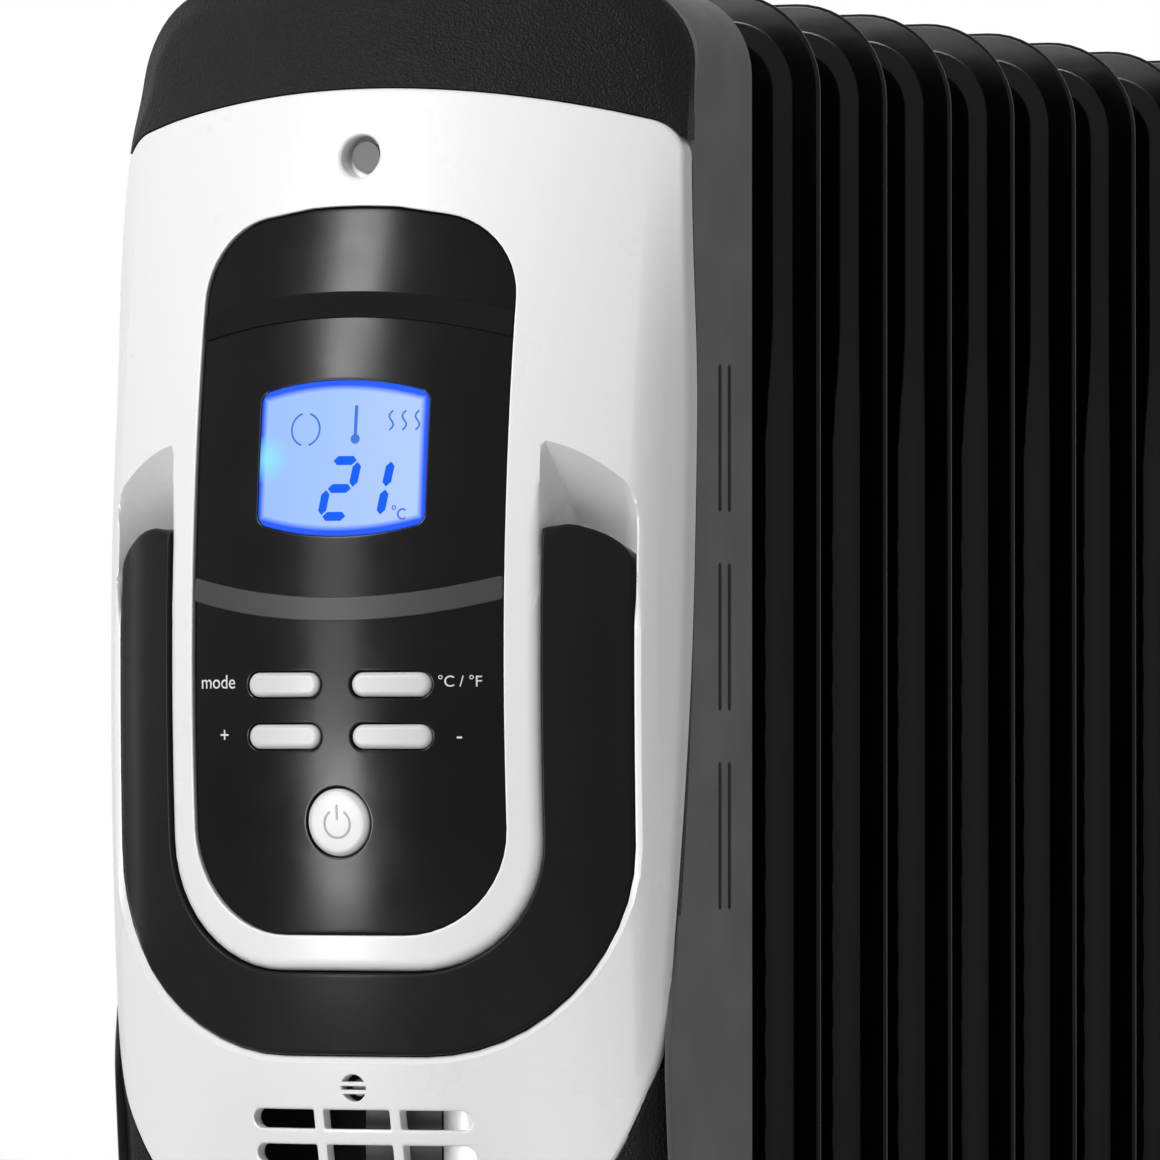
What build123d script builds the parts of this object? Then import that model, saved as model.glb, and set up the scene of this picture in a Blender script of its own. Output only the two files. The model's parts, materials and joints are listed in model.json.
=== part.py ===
"""Oil filled radiator heater: welded oil fins on castors, with a bowed control housing in front.

Millimetres, +Z up, the housing faces -Y, and the origin is under the middle of the part, on the floor.
Depths count forward from the middle of the first fin, heights from the floor.
"""
import os
from functools import lru_cache
from math import asin, cos, radians, sin, sqrt, tan

from build123d import *

os.makedirs("parts", exist_ok=True)

# Oil fins
FIN_COUNT = 9
FIN_PITCH = 40.0
FIN_WIDTH = 156.0
FIN_TOP = 640.0
FIN_BOTTOM = 78.0
FIN_CORNER = 24.0
RIM_THICK = 1.7
RIM_FLANGE = 8.0
PRESS_LOW = 3.6
PRESS_HIGH = 7.2
PRESS_DRAFT = 15.0
FIN_SKIN = 0.7
CHANNEL_INSET = 78.0
CHANNEL_RAMP = 36.0
CHANNEL_GAP = 48.0
CHANNEL_BEVEL = 2.5

# Galleries that join the fins, at the top and at the bottom
GALLERY_INSET = 45.0
GALLERY_BORE = 35.0
COLLAR_OUTER = 40.0
CAP_THICK = 5.0
PLUG_FLATS = 17.0
PLUG_HEAD = 6.0
PLUG_STEM_R = 5.0

# Heating element
ELEMENT_ROD_R = 4.0
ELEMENT_SPREAD = 7.0
ELEMENT_SHORT = 30.0
ELEMENT_TAIL = 3.0
FLANGE_OUTER = 46.0
FLANGE_THICK = 8.0
GASKET_THICK = 2.0
CUTOUT_R = 9.0
CUTOUT_THICK = 8.0
CUTOUT_Z = 360.0

# Bowed front: an upright barrel whose side arches in above and below its fullest height
BOW_R = 122.0
BOW_SETBACK = 16.0
BOW_Z = 481.0
ARCH_R = 500.0
BEND_Z = 345.0
WAIST_R = 96.5

# Control housing
HOUSING_TOP = 640.0
HOUSING_BOTTOM = 80.0
HOUSING_HALF = 74.4
HOUSING_CORNER = 22.0
HOUSING_REAR = 29.0
HOOD_INSET = 0.4
SHELL_WALL = 2.4
SKIRT_WALL = 1.2
SKIRT_DEPTH = 9.4
SIDE_WALL = 2.5
LAP_GAP = 0.2
REAR_PLATE_THICK = 1.5
REAR_PLATE_SETBACK = 0.5
SIDE_SLOT_DEPTHS = (42.1, 47.5)
SIDE_SLOT_WIDTH = 1.9
SIDE_SLOT_LENGTH = 35.0
SIDE_SLOT_MIDDLE = 484.5
SIDE_SLOT_STEP = 47.0
SIDE_SLOT_ROWS = 3

# White front cover
COVER_TOP = 613.7
COVER_SHOULDER_Z = 604.0
COVER_TOP_HALF = 73.7
COVER_SIDE_HALF = 75.0
COVER_SIDE_Z = 480.0
COVER_LOW_HALF = 72.0
COVER_LOW_Z = 400.0
COVER_BOTTOM = 328.0
COVER_CORNER = 9.0
COVER_WALL = 2.4
COVER_RETURN = 6.0
RETURN_LOW = 407.0
RETURN_HIGH = 598.0
COVER_GAP = 0.3
COVER_SEAT = 0.2

# Vents, sensor hole and screw recess in the cover
VENT_TOP_Z = 370.8
VENT_STEP = 8.3
VENT_ROWS = 4
VENT_HEIGHT = 4.6
VENT_LENGTH = 57.0
VENT_WEB = 2.7
VENT_MARGIN = 3.0
SENSOR_Z = 378.3
SENSOR_HOLE = 6.5
SENSOR_BAR = 1.0
SENSOR_BAR_STEP = 1.9
SENSOR_TUBE = 8.4
SENSOR_TUBE_DEPTH = 8.0
SENSOR_FLANGE = 1.2
SENSOR_BEAD_R = 2.0
SENSOR_BEAD_LENGTH = 4.5
SCREW_Z = 597.5
SCREW_RECESS = 10.0
SCREW_CUP_WALL = 1.5
SCREW_CUP_DEPTH = 8.0
SCREW_CUP_FLOOR = 2.0
SCREW_SOCKET_FLOOR = 6.0
SCREW_HEAD_R = 3.6
SCREW_HEAD_THICK = 2.4
SCREW_SHANK_R = 1.5

# Control panel, accent bands and display
PANEL_HALF = 40.5
PANEL_TOP = 585.5
PANEL_BOTTOM = 414.4
PANEL_CROWN = 5.0
PANEL_TOP_CORNER = 20.0
PANEL_LOW_CORNER = 25.0
PANEL_INSET = 1.0
PANEL_FLANGE = 3.0
PANEL_FLANGE_THICK = 1.6
PANEL_GAP = 0.2
BAND_PROUD = 0.5
BAND_MARGIN = 1.0
BAND_BEND_R = 165.0
UPPER_BAND_Z = 565.5
UPPER_BAND_WIDTH = 6.2
LOWER_BAND_Z = 487.9
LOWER_BAND_WIDTH = 5.6
LENS_HALF = 21.75
LENS_MIDDLE_Z = 526.2
LENS_HALF_HEIGHT = 18.3
LENS_CROWN = 3.0
LENS_CORNER = 3.0
LENS_THICK = 1.8
LENS_LEDGE = 1.5
LENS_GAP = 0.1

# Boards behind the panel
BOARD_DEPTH = 88.0
BOARD_THICK = 1.6
BOARD_HALF = 38.0
BOARD_TOP = 552.0
BOARD_BOTTOM = 424.0
BOARD_POST_R = 3.0
BOARD_POST_HALF = 33.0
BOARD_POST_INSET = 6.0
LCD_THICK = 2.6
BACKLIGHT_THICK = 1.4
LCD_MARGIN = 2.0

# Buttons
BUTTON_LENGTH = 19.6
BUTTON_HEIGHT = 5.8
BUTTON_X = 14.0
UPPER_ROW_Z = 473.0
LOWER_ROW_Z = 460.8
POWER_Z = 440.7
POWER_R = 8.0
BUTTON_PROUD = 0.6
BUTTON_GAP = 0.3
BUTTON_LIP = 0.9
BUTTON_LIP_FRONT_GAP = 0.4
BUTTON_TRAVEL = 1.0
BUTTON_STOP = 0.2
TACT_SIZE = 6.0
TACT_HEIGHT = 3.0

# Swing handle
HANDLE_HALF = 67.2
HANDLE_INNER_HALF = 48.6
HANDLE_BOTTOM = 386.0
HANDLE_INNER_BOTTOM = 405.5
HANDLE_CORNER = 49.0
HANDLE_INNER_CORNER = 31.0
HANDLE_THICK = 11.0
HANDLE_GAP = 1.0
PIVOT_Z = 500.0
PIVOT_DEPTH = 88.0
KNUCKLE_R = 11.0
KNUCKLE_GAP = 0.6
PIN_R = 2.5
PIN_FIT = 0.05
PIN_REACH = 8.0
PIN_HEAD_R = 3.4
PIN_HEAD = 2.0
TROUGH_GAP = 0.8
TROUGH_WALL = 2.0
SCOOP_TOP = 529.0
SCOOP_ANGLE = 40.0
SCOOP_WALL = 3.2
SCOOP_CHEEK = 1.0
SCOOP_LIP = 2.0

# Parts on the rear plate
STRUT_WIDTH = 40.0
STRUT_HEIGHT = 24.0
STRUT_SHEET = 2.0
STRUT_HEIGHTS = (200.0, 520.0)
CORNER_POST = 12.0
CORNER_POST_DEPTH = 14.0
CORNER_POST_INSET = 24.0
PLATE_SCREW_R = 2.0
PLATE_SCREW_HEAD_R = 3.8
PLATE_SCREW_HEAD = 2.2
PLATE_SCREW_LENGTH = 10.0
PLATE_GAP = 0.2
POWER_BOARD_WIDTH = 100.0
POWER_BOARD_HEIGHT = 120.0
POWER_BOARD_Z = 240.0
POWER_POST = 10.0
POWER_POST_R = 3.0
POWER_POST_INSET = 8.0
RELAY_WIDTH = 18.0
RELAY_HEIGHT = 16.0
RELAY_EDGE = 1.0
RELAY_RISE = 25.0
RELAY_X = 26.0
TRANSFORMER_WIDTH = 34.0
TRANSFORMER_HEIGHT = 28.0
TRANSFORMER_DROP = 28.0
TERMINAL_WIDTH = 50.0
TERMINAL_HEIGHT = 18.0
TERMINAL_THICK = 20.0
TERMINAL_Z = 155.0
TIP_WIDTH = 24.0
TIP_HEIGHT = 30.0
TIP_THICK = 18.0
TIP_Z = 112.0
TIP_X = 36.0
WIRE_HOLE_R = 14.0
RIBBON_WIDTH = 20.0
RIBBON_THICK = 1.0
RIBBON_DEPTH = 68.0
RIBBON_BEND = 8.0
RIBBON_DROP = 16.0
RIBBON_RISE = 45.0

# Cord gland in the housing's bottom wall
GLAND_DEPTH = 48.0
GLAND_BORE_R = 4.0
GLAND_NECK_R = 7.0
GLAND_HEAD_R = 10.0
GLAND_HEAD = 3.0
GLAND_NUT = 4.0

# Feet
FOOT_LENGTH = 236.0
FOOT_DEPTH = 56.0
FOOT_CORNER = 22.0
FOOT_SHEET = 2.0
FOOT_SKIRT = 12.0
HOOK_ROD_R = 3.0
HOOK_GAP = 0.1
HOOK_HOLE_GAP = 0.3
HOOK_TAIL = 16.0
NUT_R = 6.0
NUT_HEIGHT = 6.5
WING_REACH = 12.0
WING_THICK = 2.4
WING_HEIGHT = 9.0

# Castors
CASTOR_INSET = 18.0
CASTOR_X = FOOT_LENGTH / 2 - CASTOR_INSET
WHEEL_R = 20.0
WHEEL_WIDTH = 11.0
WHEEL_EDGE = 2.0
WHEEL_GAP = 0.5
HUB_R = 12.0
HUB_DISH = 1.5
WEB_THICK = 9.0
AXLE_R = 3.0
AXLE_FIT = 0.05
AXLE_SEAT = 0.02
BEARING_R = 10.0
CASTOR_TRAIL = 12.0
HOOD_GAP = 1.2
HOOD_THICK = 2.4
STEM_R = 4.0
STEM_FIT = 0.05
STEM_COLLAR_R = 8.0
STEM_COLLAR_TOP = 47.8
SOCKET_R = 8.0
SOCKET_GAP = 0.2
STEM_END_GAP = 1.0

# Sizes that follow from the driving dimensions
FIN_HEIGHT = FIN_TOP - FIN_BOTTOM
FIN_MIDDLE_Z = (FIN_TOP + FIN_BOTTOM) / 2
UPPER_GALLERY_Z = FIN_TOP - GALLERY_INSET
LOWER_GALLERY_Z = FIN_BOTTOM + GALLERY_INSET
STACK = (FIN_COUNT - 1) * FIN_PITCH
FRONT_REACH = BOW_R - BOW_SETBACK - PANEL_INSET + BUTTON_PROUD
REAR_REACH = STACK + PRESS_LOW + CAP_THICK + PLUG_HEAD
FIN_1_Y = (FRONT_REACH - REAR_REACH) / 2
BOW_Y = FIN_1_Y + BOW_SETBACK
BEND_TILT = asin((BOW_Z - BEND_Z) / ARCH_R)
BEND_BOW_R = BOW_R - ARCH_R * (1 - cos(BEND_TILT))
WAIST_BEND_R = (BEND_BOW_R - WAIST_R) / (1 - cos(BEND_TILT))
WAIST_Z = BEND_Z - WAIST_BEND_R * sin(BEND_TILT)
COVER_BACK = COVER_WALL + COVER_SEAT
SHELL_BACK = COVER_BACK + SHELL_WALL
PANEL_BACK = COVER_WALL + PANEL_FLANGE_THICK
REAR_HALF = HOUSING_HALF - SKIRT_WALL - LAP_GAP
REAR_TRIM = SKIRT_WALL + LAP_GAP
BOTTOM_WALL_LOW = HOUSING_BOTTOM + REAR_TRIM
BOTTOM_WALL_HIGH = BOTTOM_WALL_LOW + SIDE_WALL
REAR_PLATE_BACK = HOUSING_REAR + REAR_PLATE_SETBACK
REAR_PLATE_FRONT = REAR_PLATE_BACK + REAR_PLATE_THICK
BOARD_FRONT = BOARD_DEPTH + BOARD_THICK
LIP_BACK = BOARD_FRONT + TACT_HEIGHT + BUTTON_TRAVEL + BUTTON_STOP
TROUGH_DEPTH = HANDLE_THICK + TROUGH_GAP
TROUGH_INNER = HANDLE_INNER_HALF - HANDLE_GAP
TROUGH_OUTER = HANDLE_HALF + HANDLE_GAP
POCKET_R = KNUCKLE_R + KNUCKLE_GAP
BOSS_R = POCKET_R + TROUGH_WALL
BUTTON_SPOTS = {
    "mode": (-BUTTON_X, UPPER_ROW_Z),
    "unit": (BUTTON_X, UPPER_ROW_Z),
    "plus": (-BUTTON_X, LOWER_ROW_Z),
    "minus": (BUTTON_X, LOWER_ROW_Z),
    "power": (0.0, POWER_Z),
}
POWER_BOARD_BACK = REAR_PLATE_FRONT + POWER_POST
POWER_BOARD_FRONT = POWER_BOARD_BACK + BOARD_THICK
FOOT_TOP = FIN_BOTTOM
FOOT_YS = (FIN_1_Y + FIN_PITCH / 2, FIN_1_Y + STACK - FIN_PITCH / 2)
HOOK_BEND_R = COLLAR_OUTER / 2 + HOOK_ROD_R + HOOK_GAP
HOOD_INNER_R = WHEEL_R + HOOD_GAP
HOOD_OUTER_R = HOOD_INNER_R + HOOD_THICK
CASTOR_HALF = WEB_THICK / 2 + WHEEL_GAP + WHEEL_WIDTH
SOCKET_BOTTOM = STEM_COLLAR_TOP + SOCKET_GAP
STEM_TOP = FOOT_TOP - FOOT_SHEET - STEM_END_GAP

# Far enough past the housing for a cut to clear it
REACH = 2 * BOW_R
BOW_AXIS = Axis((0, BOW_Y, 0), (0, 0, 1))
PRISM_START = 0.0


def y_at(depth):
    """Place along Y of a depth in front of the first fin."""
    return FIN_1_Y - depth


def facing(depth):
    """Sketch plane at a depth, seen from the front: X to the right, Z up, extruding forward."""
    return Plane.XZ.offset(-y_at(depth))


def bow_radius(z):
    """Radius of the bowed front at a height."""
    if z >= BEND_Z:
        return BOW_R - ARCH_R + sqrt(ARCH_R**2 - (z - BOW_Z) ** 2)
    if z >= WAIST_Z:
        return WAIST_R + WAIST_BEND_R - sqrt(WAIST_BEND_R**2 - (z - WAIST_Z) ** 2)
    return WAIST_R


def front_depth(x, z, inset=0.0):
    """Depth of the bowed front at a place, set back by inset."""
    return sqrt((bow_radius(z) - inset) ** 2 - x**2) - BOW_SETBACK


@lru_cache(maxsize=None)
def bow_block(inset):
    """Everything behind the bowed front, set back by inset."""
    low = min(0.0, WAIST_Z)
    high = HOUSING_TOP + HOUSING_CORNER
    mid_bend = (WAIST_Z + BEND_Z) / 2
    with BuildPart() as block:
        with BuildSketch(Plane.XZ.offset(-BOW_Y)):
            with BuildLine():
                Polyline((0, high), (0, low), (WAIST_R - inset, low), (WAIST_R - inset, WAIST_Z))
                ThreePointArc(
                    (WAIST_R - inset, WAIST_Z),
                    (bow_radius(mid_bend) - inset, mid_bend),
                    (bow_radius(BEND_Z) - inset, BEND_Z),
                )
                ThreePointArc(
                    (bow_radius(BEND_Z) - inset, BEND_Z),
                    (BOW_R - inset, BOW_Z),
                    (bow_radius(high) - inset, high),
                )
                Line((bow_radius(high) - inset, high), (0, high))
            make_face()
        revolve(axis=BOW_AXIS)
    return block.part


def prism(outline):
    """The outline's prism, from the first fin to well past the front."""
    with BuildPart() as block:
        with BuildSketch(facing(PRISM_START)):
            add(outline)
        extrude(amount=REACH)
    return block.part


def behind_bow(outline, inset):
    """The part of the outline's prism behind the bowed front, set back by inset."""
    with BuildPart() as block:
        add(prism(outline))
        add(bow_block(inset), mode=Mode.INTERSECT)
    return block.part


def before_bow(outline, inset):
    """The part of the outline's prism in front of the bowed surface, set back by inset."""
    with BuildPart() as block:
        add(prism(outline))
        add(bow_block(inset), mode=Mode.SUBTRACT)
    return block.part


def bowed_plate(outline, front, back):
    """A plate of the outline that follows the bow, between two insets."""
    with BuildPart() as plate:
        add(behind_bow(outline, front))
        add(bow_block(back), mode=Mode.SUBTRACT)
    return plate.part


def rod_along_x(x_low, x_high, depth, z, radius):
    """A round bar along X."""
    with BuildPart() as rod:
        with BuildSketch(Plane.YZ.offset(x_low)):
            with Locations((y_at(depth), z)):
                Circle(radius)
        extrude(amount=x_high - x_low)
    return rod.part


def on_both_sides(x_low, x_high, depth, z, radius):
    """The same round bar right and left of the middle."""
    with BuildPart() as rods:
        add(rod_along_x(x_low, x_high, depth, z, radius))
        add(rod_along_x(-x_high, -x_low, depth, z, radius))
    return rods.part


def keep(builder, name):
    """Label a finished piece and write it."""
    builder.part.label = name
    export_step(builder.part, f"parts/{name}.step")


# Outlines, drawn as seen from the front: X to the right, height up


def shell_outline(shrink):
    with BuildSketch() as outline:
        with Locations((0, (HOUSING_TOP + HOUSING_BOTTOM) / 2)):
            RectangleRounded(
                2 * (HOUSING_HALF - shrink),
                HOUSING_TOP - HOUSING_BOTTOM - 2 * shrink,
                HOUSING_CORNER - shrink,
            )
    return outline.sketch


def cover_outline(grow):
    side = (COVER_SIDE_HALF + grow, COVER_SIDE_Z)
    shoulder = (COVER_TOP_HALF + grow, COVER_SHOULDER_Z + grow)
    low = (COVER_LOW_HALF + grow, COVER_LOW_Z)
    with BuildSketch() as outline:
        with BuildLine():
            ThreePointArc((-shoulder[0], shoulder[1]), (0, COVER_TOP + grow), shoulder)
            ThreePointArc(shoulder, side, low)
            ThreePointArc(low, (0, COVER_BOTTOM - grow), (-low[0], low[1]))
            ThreePointArc((-low[0], low[1]), (-side[0], side[1]), (-shoulder[0], shoulder[1]))
        make_face()
        fillet(outline.vertices().group_by(Axis.Y)[-1], COVER_CORNER + grow)
    return outline.sketch


def cover_hollow():
    """All but the two strips at the cover's sides that turn back."""
    with BuildSketch() as outline:
        add(rectangle_outline(-REACH, REACH, 0, HOUSING_TOP))
        add(return_strips(0), mode=Mode.SUBTRACT)
    return outline.sketch


def return_strips(grow):
    return both_windows(
        COVER_SIDE_HALF - COVER_WALL - grow, REACH, RETURN_LOW - grow, RETURN_HIGH + grow
    )


def panel_outline(grow):
    half = PANEL_HALF + grow
    top = PANEL_TOP + grow
    low = PANEL_BOTTOM - grow
    edge_top = top - PANEL_CROWN
    with BuildSketch() as outline:
        with BuildLine():
            ThreePointArc((-half, edge_top), (0, top), (half, edge_top))
            Polyline((half, edge_top), (half, low), (-half, low), (-half, edge_top))
        make_face()
        fillet(outline.vertices().group_by(Axis.Y)[-1], PANEL_TOP_CORNER + grow)
        fillet(outline.vertices().group_by(Axis.Y)[0], PANEL_LOW_CORNER + grow)
    return outline.sketch


def lens_outline(grow):
    half = LENS_HALF + grow
    low = LENS_MIDDLE_Z - LENS_HALF_HEIGHT - grow
    high = LENS_MIDDLE_Z + LENS_HALF_HEIGHT + grow
    with BuildSketch() as outline:
        with BuildLine():
            ThreePointArc((-half, high - LENS_CROWN), (0, high), (half, high - LENS_CROWN))
            Line((half, high - LENS_CROWN), (half, low + LENS_CROWN))
            ThreePointArc((half, low + LENS_CROWN), (0, low), (-half, low + LENS_CROWN))
            Line((-half, low + LENS_CROWN), (-half, high - LENS_CROWN))
        make_face()
        fillet(outline.vertices(), LENS_CORNER + grow)
    return outline.sketch


def handle_outline(grow, top):
    """The handle's U, grown on every side, with its arms cut off at a height."""
    low = HANDLE_BOTTOM - grow
    inner_low = HANDLE_INNER_BOTTOM + grow
    with BuildSketch() as outer:
        with Locations((0, (low + top) / 2)):
            Rectangle(2 * (HANDLE_HALF + grow), top - low)
        fillet(outer.vertices().group_by(Axis.Y)[0], HANDLE_CORNER + grow)
    with BuildSketch() as inner:
        with Locations((0, (inner_low + top) / 2)):
            Rectangle(2 * (HANDLE_INNER_HALF - grow), top - inner_low)
        fillet(inner.vertices().group_by(Axis.Y)[0], HANDLE_INNER_CORNER - grow)
    with BuildSketch() as outline:
        add(outer.sketch)
        add(inner.sketch, mode=Mode.SUBTRACT)
    return outline.sketch


def button_outline(name, grow):
    with BuildSketch() as outline:
        with Locations(BUTTON_SPOTS[name]):
            if name == "power":
                Circle(POWER_R + grow)
            else:
                SlotOverall(BUTTON_LENGTH + 2 * grow, BUTTON_HEIGHT + 2 * grow)
    return outline.sketch


def all_buttons(grow):
    with BuildSketch() as outline:
        for name in BUTTON_SPOTS:
            add(button_outline(name, grow))
    return outline.sketch


def band_outline(middle_z, width, side):
    """A curved band across the panel: side 1 arches up in the middle, side -1 sags."""
    with BuildSketch() as outline:
        with Locations((0, middle_z - side * BAND_BEND_R)):
            Circle(BAND_BEND_R)
        with Locations((0, middle_z - side * (BAND_BEND_R + width))):
            Circle(BAND_BEND_R, mode=Mode.SUBTRACT)
        add(panel_outline(-BAND_MARGIN), mode=Mode.INTERSECT)
    return outline.sketch


def vent_outline():
    segment = (VENT_LENGTH - 2 * VENT_WEB) / 3
    with BuildSketch() as outline:
        for row in range(VENT_ROWS):
            with Locations((0, VENT_TOP_Z - row * VENT_STEP)):
                SlotOverall(VENT_LENGTH, VENT_HEIGHT)
        for side in (-1, 1):
            with Locations((side * (segment + VENT_WEB) / 2, VENT_TOP_Z)):
                Rectangle(VENT_WEB, 2 * VENT_ROWS * VENT_STEP, mode=Mode.SUBTRACT)
    return outline.sketch


def rectangle_outline(x_low, x_high, z_low, z_high):
    with BuildSketch() as outline:
        with Locations(((x_low + x_high) / 2, (z_low + z_high) / 2)):
            Rectangle(x_high - x_low, z_high - z_low)
    return outline.sketch


def both_windows(x_low, x_high, z_low, z_high):
    with BuildSketch() as outline:
        add(rectangle_outline(x_low, x_high, z_low, z_high))
        add(rectangle_outline(-x_high, -x_low, z_low, z_high))
    return outline.sketch


# Oil fins: two pressed half shells welded at the rim, hollow where the oil runs


def channel_pair(inset):
    """The two deep upright channels, pressed to both sides of the fin."""
    low = FIN_BOTTOM + CHANNEL_INSET
    high = FIN_TOP - CHANNEL_INSET
    foot = RIM_THICK / 2
    crest = PRESS_HIGH - inset
    x_low = CHANNEL_GAP / 2 + inset
    x_high = FIN_WIDTH / 2 - RIM_FLANGE - inset
    side = [(foot, low), (crest, low + CHANNEL_RAMP), (crest, high - CHANNEL_RAMP), (foot, high)]
    far_side = [(-y, z) for y, z in reversed(side)]
    with BuildPart() as channels:
        with BuildSketch(Plane.YZ.offset(x_low)):
            with BuildLine():
                Polyline(*[(FIN_1_Y + y, z) for y, z in side + far_side], close=True)
            make_face()
        extrude(amount=x_high - x_low)
        chamfer(channels.edges().filter_by(Axis.Z), CHANNEL_BEVEL)
        mirror(about=Plane.YZ)
    return channels.part


with BuildPart() as first_fin:
    with BuildSketch(facing(0)):
        with Locations((0, FIN_MIDDLE_Z)):
            RectangleRounded(FIN_WIDTH, FIN_HEIGHT, FIN_CORNER)
    extrude(amount=RIM_THICK / 2, both=True)
    with BuildSketch(facing(0)):
        with Locations((0, FIN_MIDDLE_Z)):
            RectangleRounded(
                FIN_WIDTH - 2 * RIM_FLANGE, FIN_HEIGHT - 2 * RIM_FLANGE, FIN_CORNER - RIM_FLANGE
            )
    extrude(amount=PRESS_LOW, both=True, taper=PRESS_DRAFT)
    add(channel_pair(0))
    with BuildSketch(facing(0)):
        with Locations((0, FIN_MIDDLE_Z)):
            RectangleRounded(
                FIN_WIDTH - 2 * RIM_FLANGE - 4 * FIN_SKIN,
                FIN_HEIGHT - 2 * RIM_FLANGE - 4 * FIN_SKIN,
                FIN_CORNER - RIM_FLANGE - 2 * FIN_SKIN,
            )
    extrude(amount=PRESS_LOW - FIN_SKIN, both=True, mode=Mode.SUBTRACT)
    add(channel_pair(FIN_SKIN), mode=Mode.SUBTRACT)
    with BuildSketch(facing(0)):
        with Locations((0, UPPER_GALLERY_Z), (0, LOWER_GALLERY_Z)):
            Circle(GALLERY_BORE / 2)
    extrude(amount=PRESS_LOW, both=True, mode=Mode.SUBTRACT)

for index in range(FIN_COUNT):
    with BuildPart() as fin:
        with Locations((0, index * FIN_PITCH, 0)):
            add(first_fin.part)
    keep(fin, f"fin_{index + 1}")


def collar_row(z):
    """Rings that carry one gallery from fin to fin."""
    spots = [(0, FIN_1_Y + (index + 0.5) * FIN_PITCH, z) for index in range(FIN_COUNT - 1)]
    length = FIN_PITCH - 2 * PRESS_LOW
    with BuildPart() as rings:
        with Locations(*spots):
            Cylinder(COLLAR_OUTER / 2, length, rotation=(90, 0, 0))
        with Locations(*spots):
            Cylinder(GALLERY_BORE / 2, length, rotation=(90, 0, 0), mode=Mode.SUBTRACT)
    return rings


keep(collar_row(UPPER_GALLERY_Z), "upper_collars")
keep(collar_row(LOWER_GALLERY_Z), "lower_collars")

with BuildPart() as end_caps:
    with BuildSketch(facing(PRESS_LOW)):
        with Locations((0, UPPER_GALLERY_Z)):
            Circle(COLLAR_OUTER / 2)
    extrude(amount=CAP_THICK)
    with BuildSketch(facing(-STACK - PRESS_LOW)):
        with Locations((0, UPPER_GALLERY_Z), (0, LOWER_GALLERY_Z)):
            Circle(COLLAR_OUTER / 2)
    extrude(amount=-CAP_THICK)
    with BuildSketch(facing(-STACK - PRESS_LOW)):
        with Locations((0, UPPER_GALLERY_Z)):
            Circle(PLUG_STEM_R)
    extrude(amount=-CAP_THICK, mode=Mode.SUBTRACT)
keep(end_caps, "end_caps")

with BuildPart() as filler_plug:
    with BuildSketch(facing(-STACK - PRESS_LOW)):
        with Locations((0, UPPER_GALLERY_Z)):
            Circle(PLUG_STEM_R)
    extrude(amount=-CAP_THICK)
    with BuildSketch(facing(-STACK - PRESS_LOW - CAP_THICK)):
        with Locations((0, UPPER_GALLERY_Z)):
            RegularPolygon(PLUG_FLATS / 2, 6, major_radius=False)
    extrude(amount=-PLUG_HEAD)
keep(filler_plug, "filler_plug")

# Heating element in the lower gallery, with its flange and gasket on the first fin

GASKET_FRONT = PRESS_LOW + GASKET_THICK
FLANGE_FRONT = GASKET_FRONT + FLANGE_THICK

with BuildPart() as heating_element:
    front_y = y_at(FLANGE_FRONT + ELEMENT_TAIL)
    bend_y = FIN_1_Y + STACK - ELEMENT_SHORT
    with BuildLine(Plane.XY.offset(LOWER_GALLERY_Z)) as element_path:
        Line((-ELEMENT_SPREAD, front_y), (-ELEMENT_SPREAD, bend_y))
        ThreePointArc((-ELEMENT_SPREAD, bend_y), (0, bend_y + ELEMENT_SPREAD), (ELEMENT_SPREAD, bend_y))
        Line((ELEMENT_SPREAD, bend_y), (ELEMENT_SPREAD, front_y))
    with BuildSketch(Plane(origin=element_path.line @ 0, z_dir=element_path.line % 0)):
        Circle(ELEMENT_ROD_R)
    sweep()
keep(heating_element, "heating_element")

with BuildPart() as element_gasket:
    with BuildSketch(facing(PRESS_LOW)):
        with Locations((0, LOWER_GALLERY_Z)):
            Circle(FLANGE_OUTER / 2)
            Circle(GALLERY_BORE / 2, mode=Mode.SUBTRACT)
    extrude(amount=GASKET_THICK)
keep(element_gasket, "element_gasket")

with BuildPart() as element_flange:
    with BuildSketch(facing(GASKET_FRONT)):
        with Locations((0, LOWER_GALLERY_Z)):
            RegularPolygon(FLANGE_OUTER / 2, 6, major_radius=False)
        with Locations((-ELEMENT_SPREAD, LOWER_GALLERY_Z), (ELEMENT_SPREAD, LOWER_GALLERY_Z)):
            Circle(ELEMENT_ROD_R, mode=Mode.SUBTRACT)
    extrude(amount=FLANGE_THICK)
keep(element_flange, "element_flange")

with BuildPart() as thermal_cutout:
    with BuildSketch(facing(PRESS_LOW)):
        with Locations((0, CUTOUT_Z)):
            Circle(CUTOUT_R)
    extrude(amount=CUTOUT_THICK)
keep(thermal_cutout, "thermal_cutout")

# Black front shell: hood above the cover, lower front below it, and the trough that the handle lies in

SCOOP_FACE = front_depth(HANDLE_INNER_HALF, SCOOP_TOP)
SCOOP_HIGH = SCOOP_TOP + SCOOP_LIP
SCOOP_LOW = PIVOT_Z + KNUCKLE_R
SCREW_FACE = front_depth(0, SCREW_Z)
CUP_R = SCREW_RECESS / 2 + SCREW_CUP_WALL
CUP_BACK = SCREW_FACE - SCREW_CUP_DEPTH
SOCKET_BACK = CUP_BACK - COVER_SEAT - SCREW_SOCKET_FLOOR


def ramp_depth(z):
    """Depth of the scoop's slanted floor at a height."""
    return SCOOP_FACE - (SCOOP_TOP - z) * tan(radians(SCOOP_ANGLE))


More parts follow.
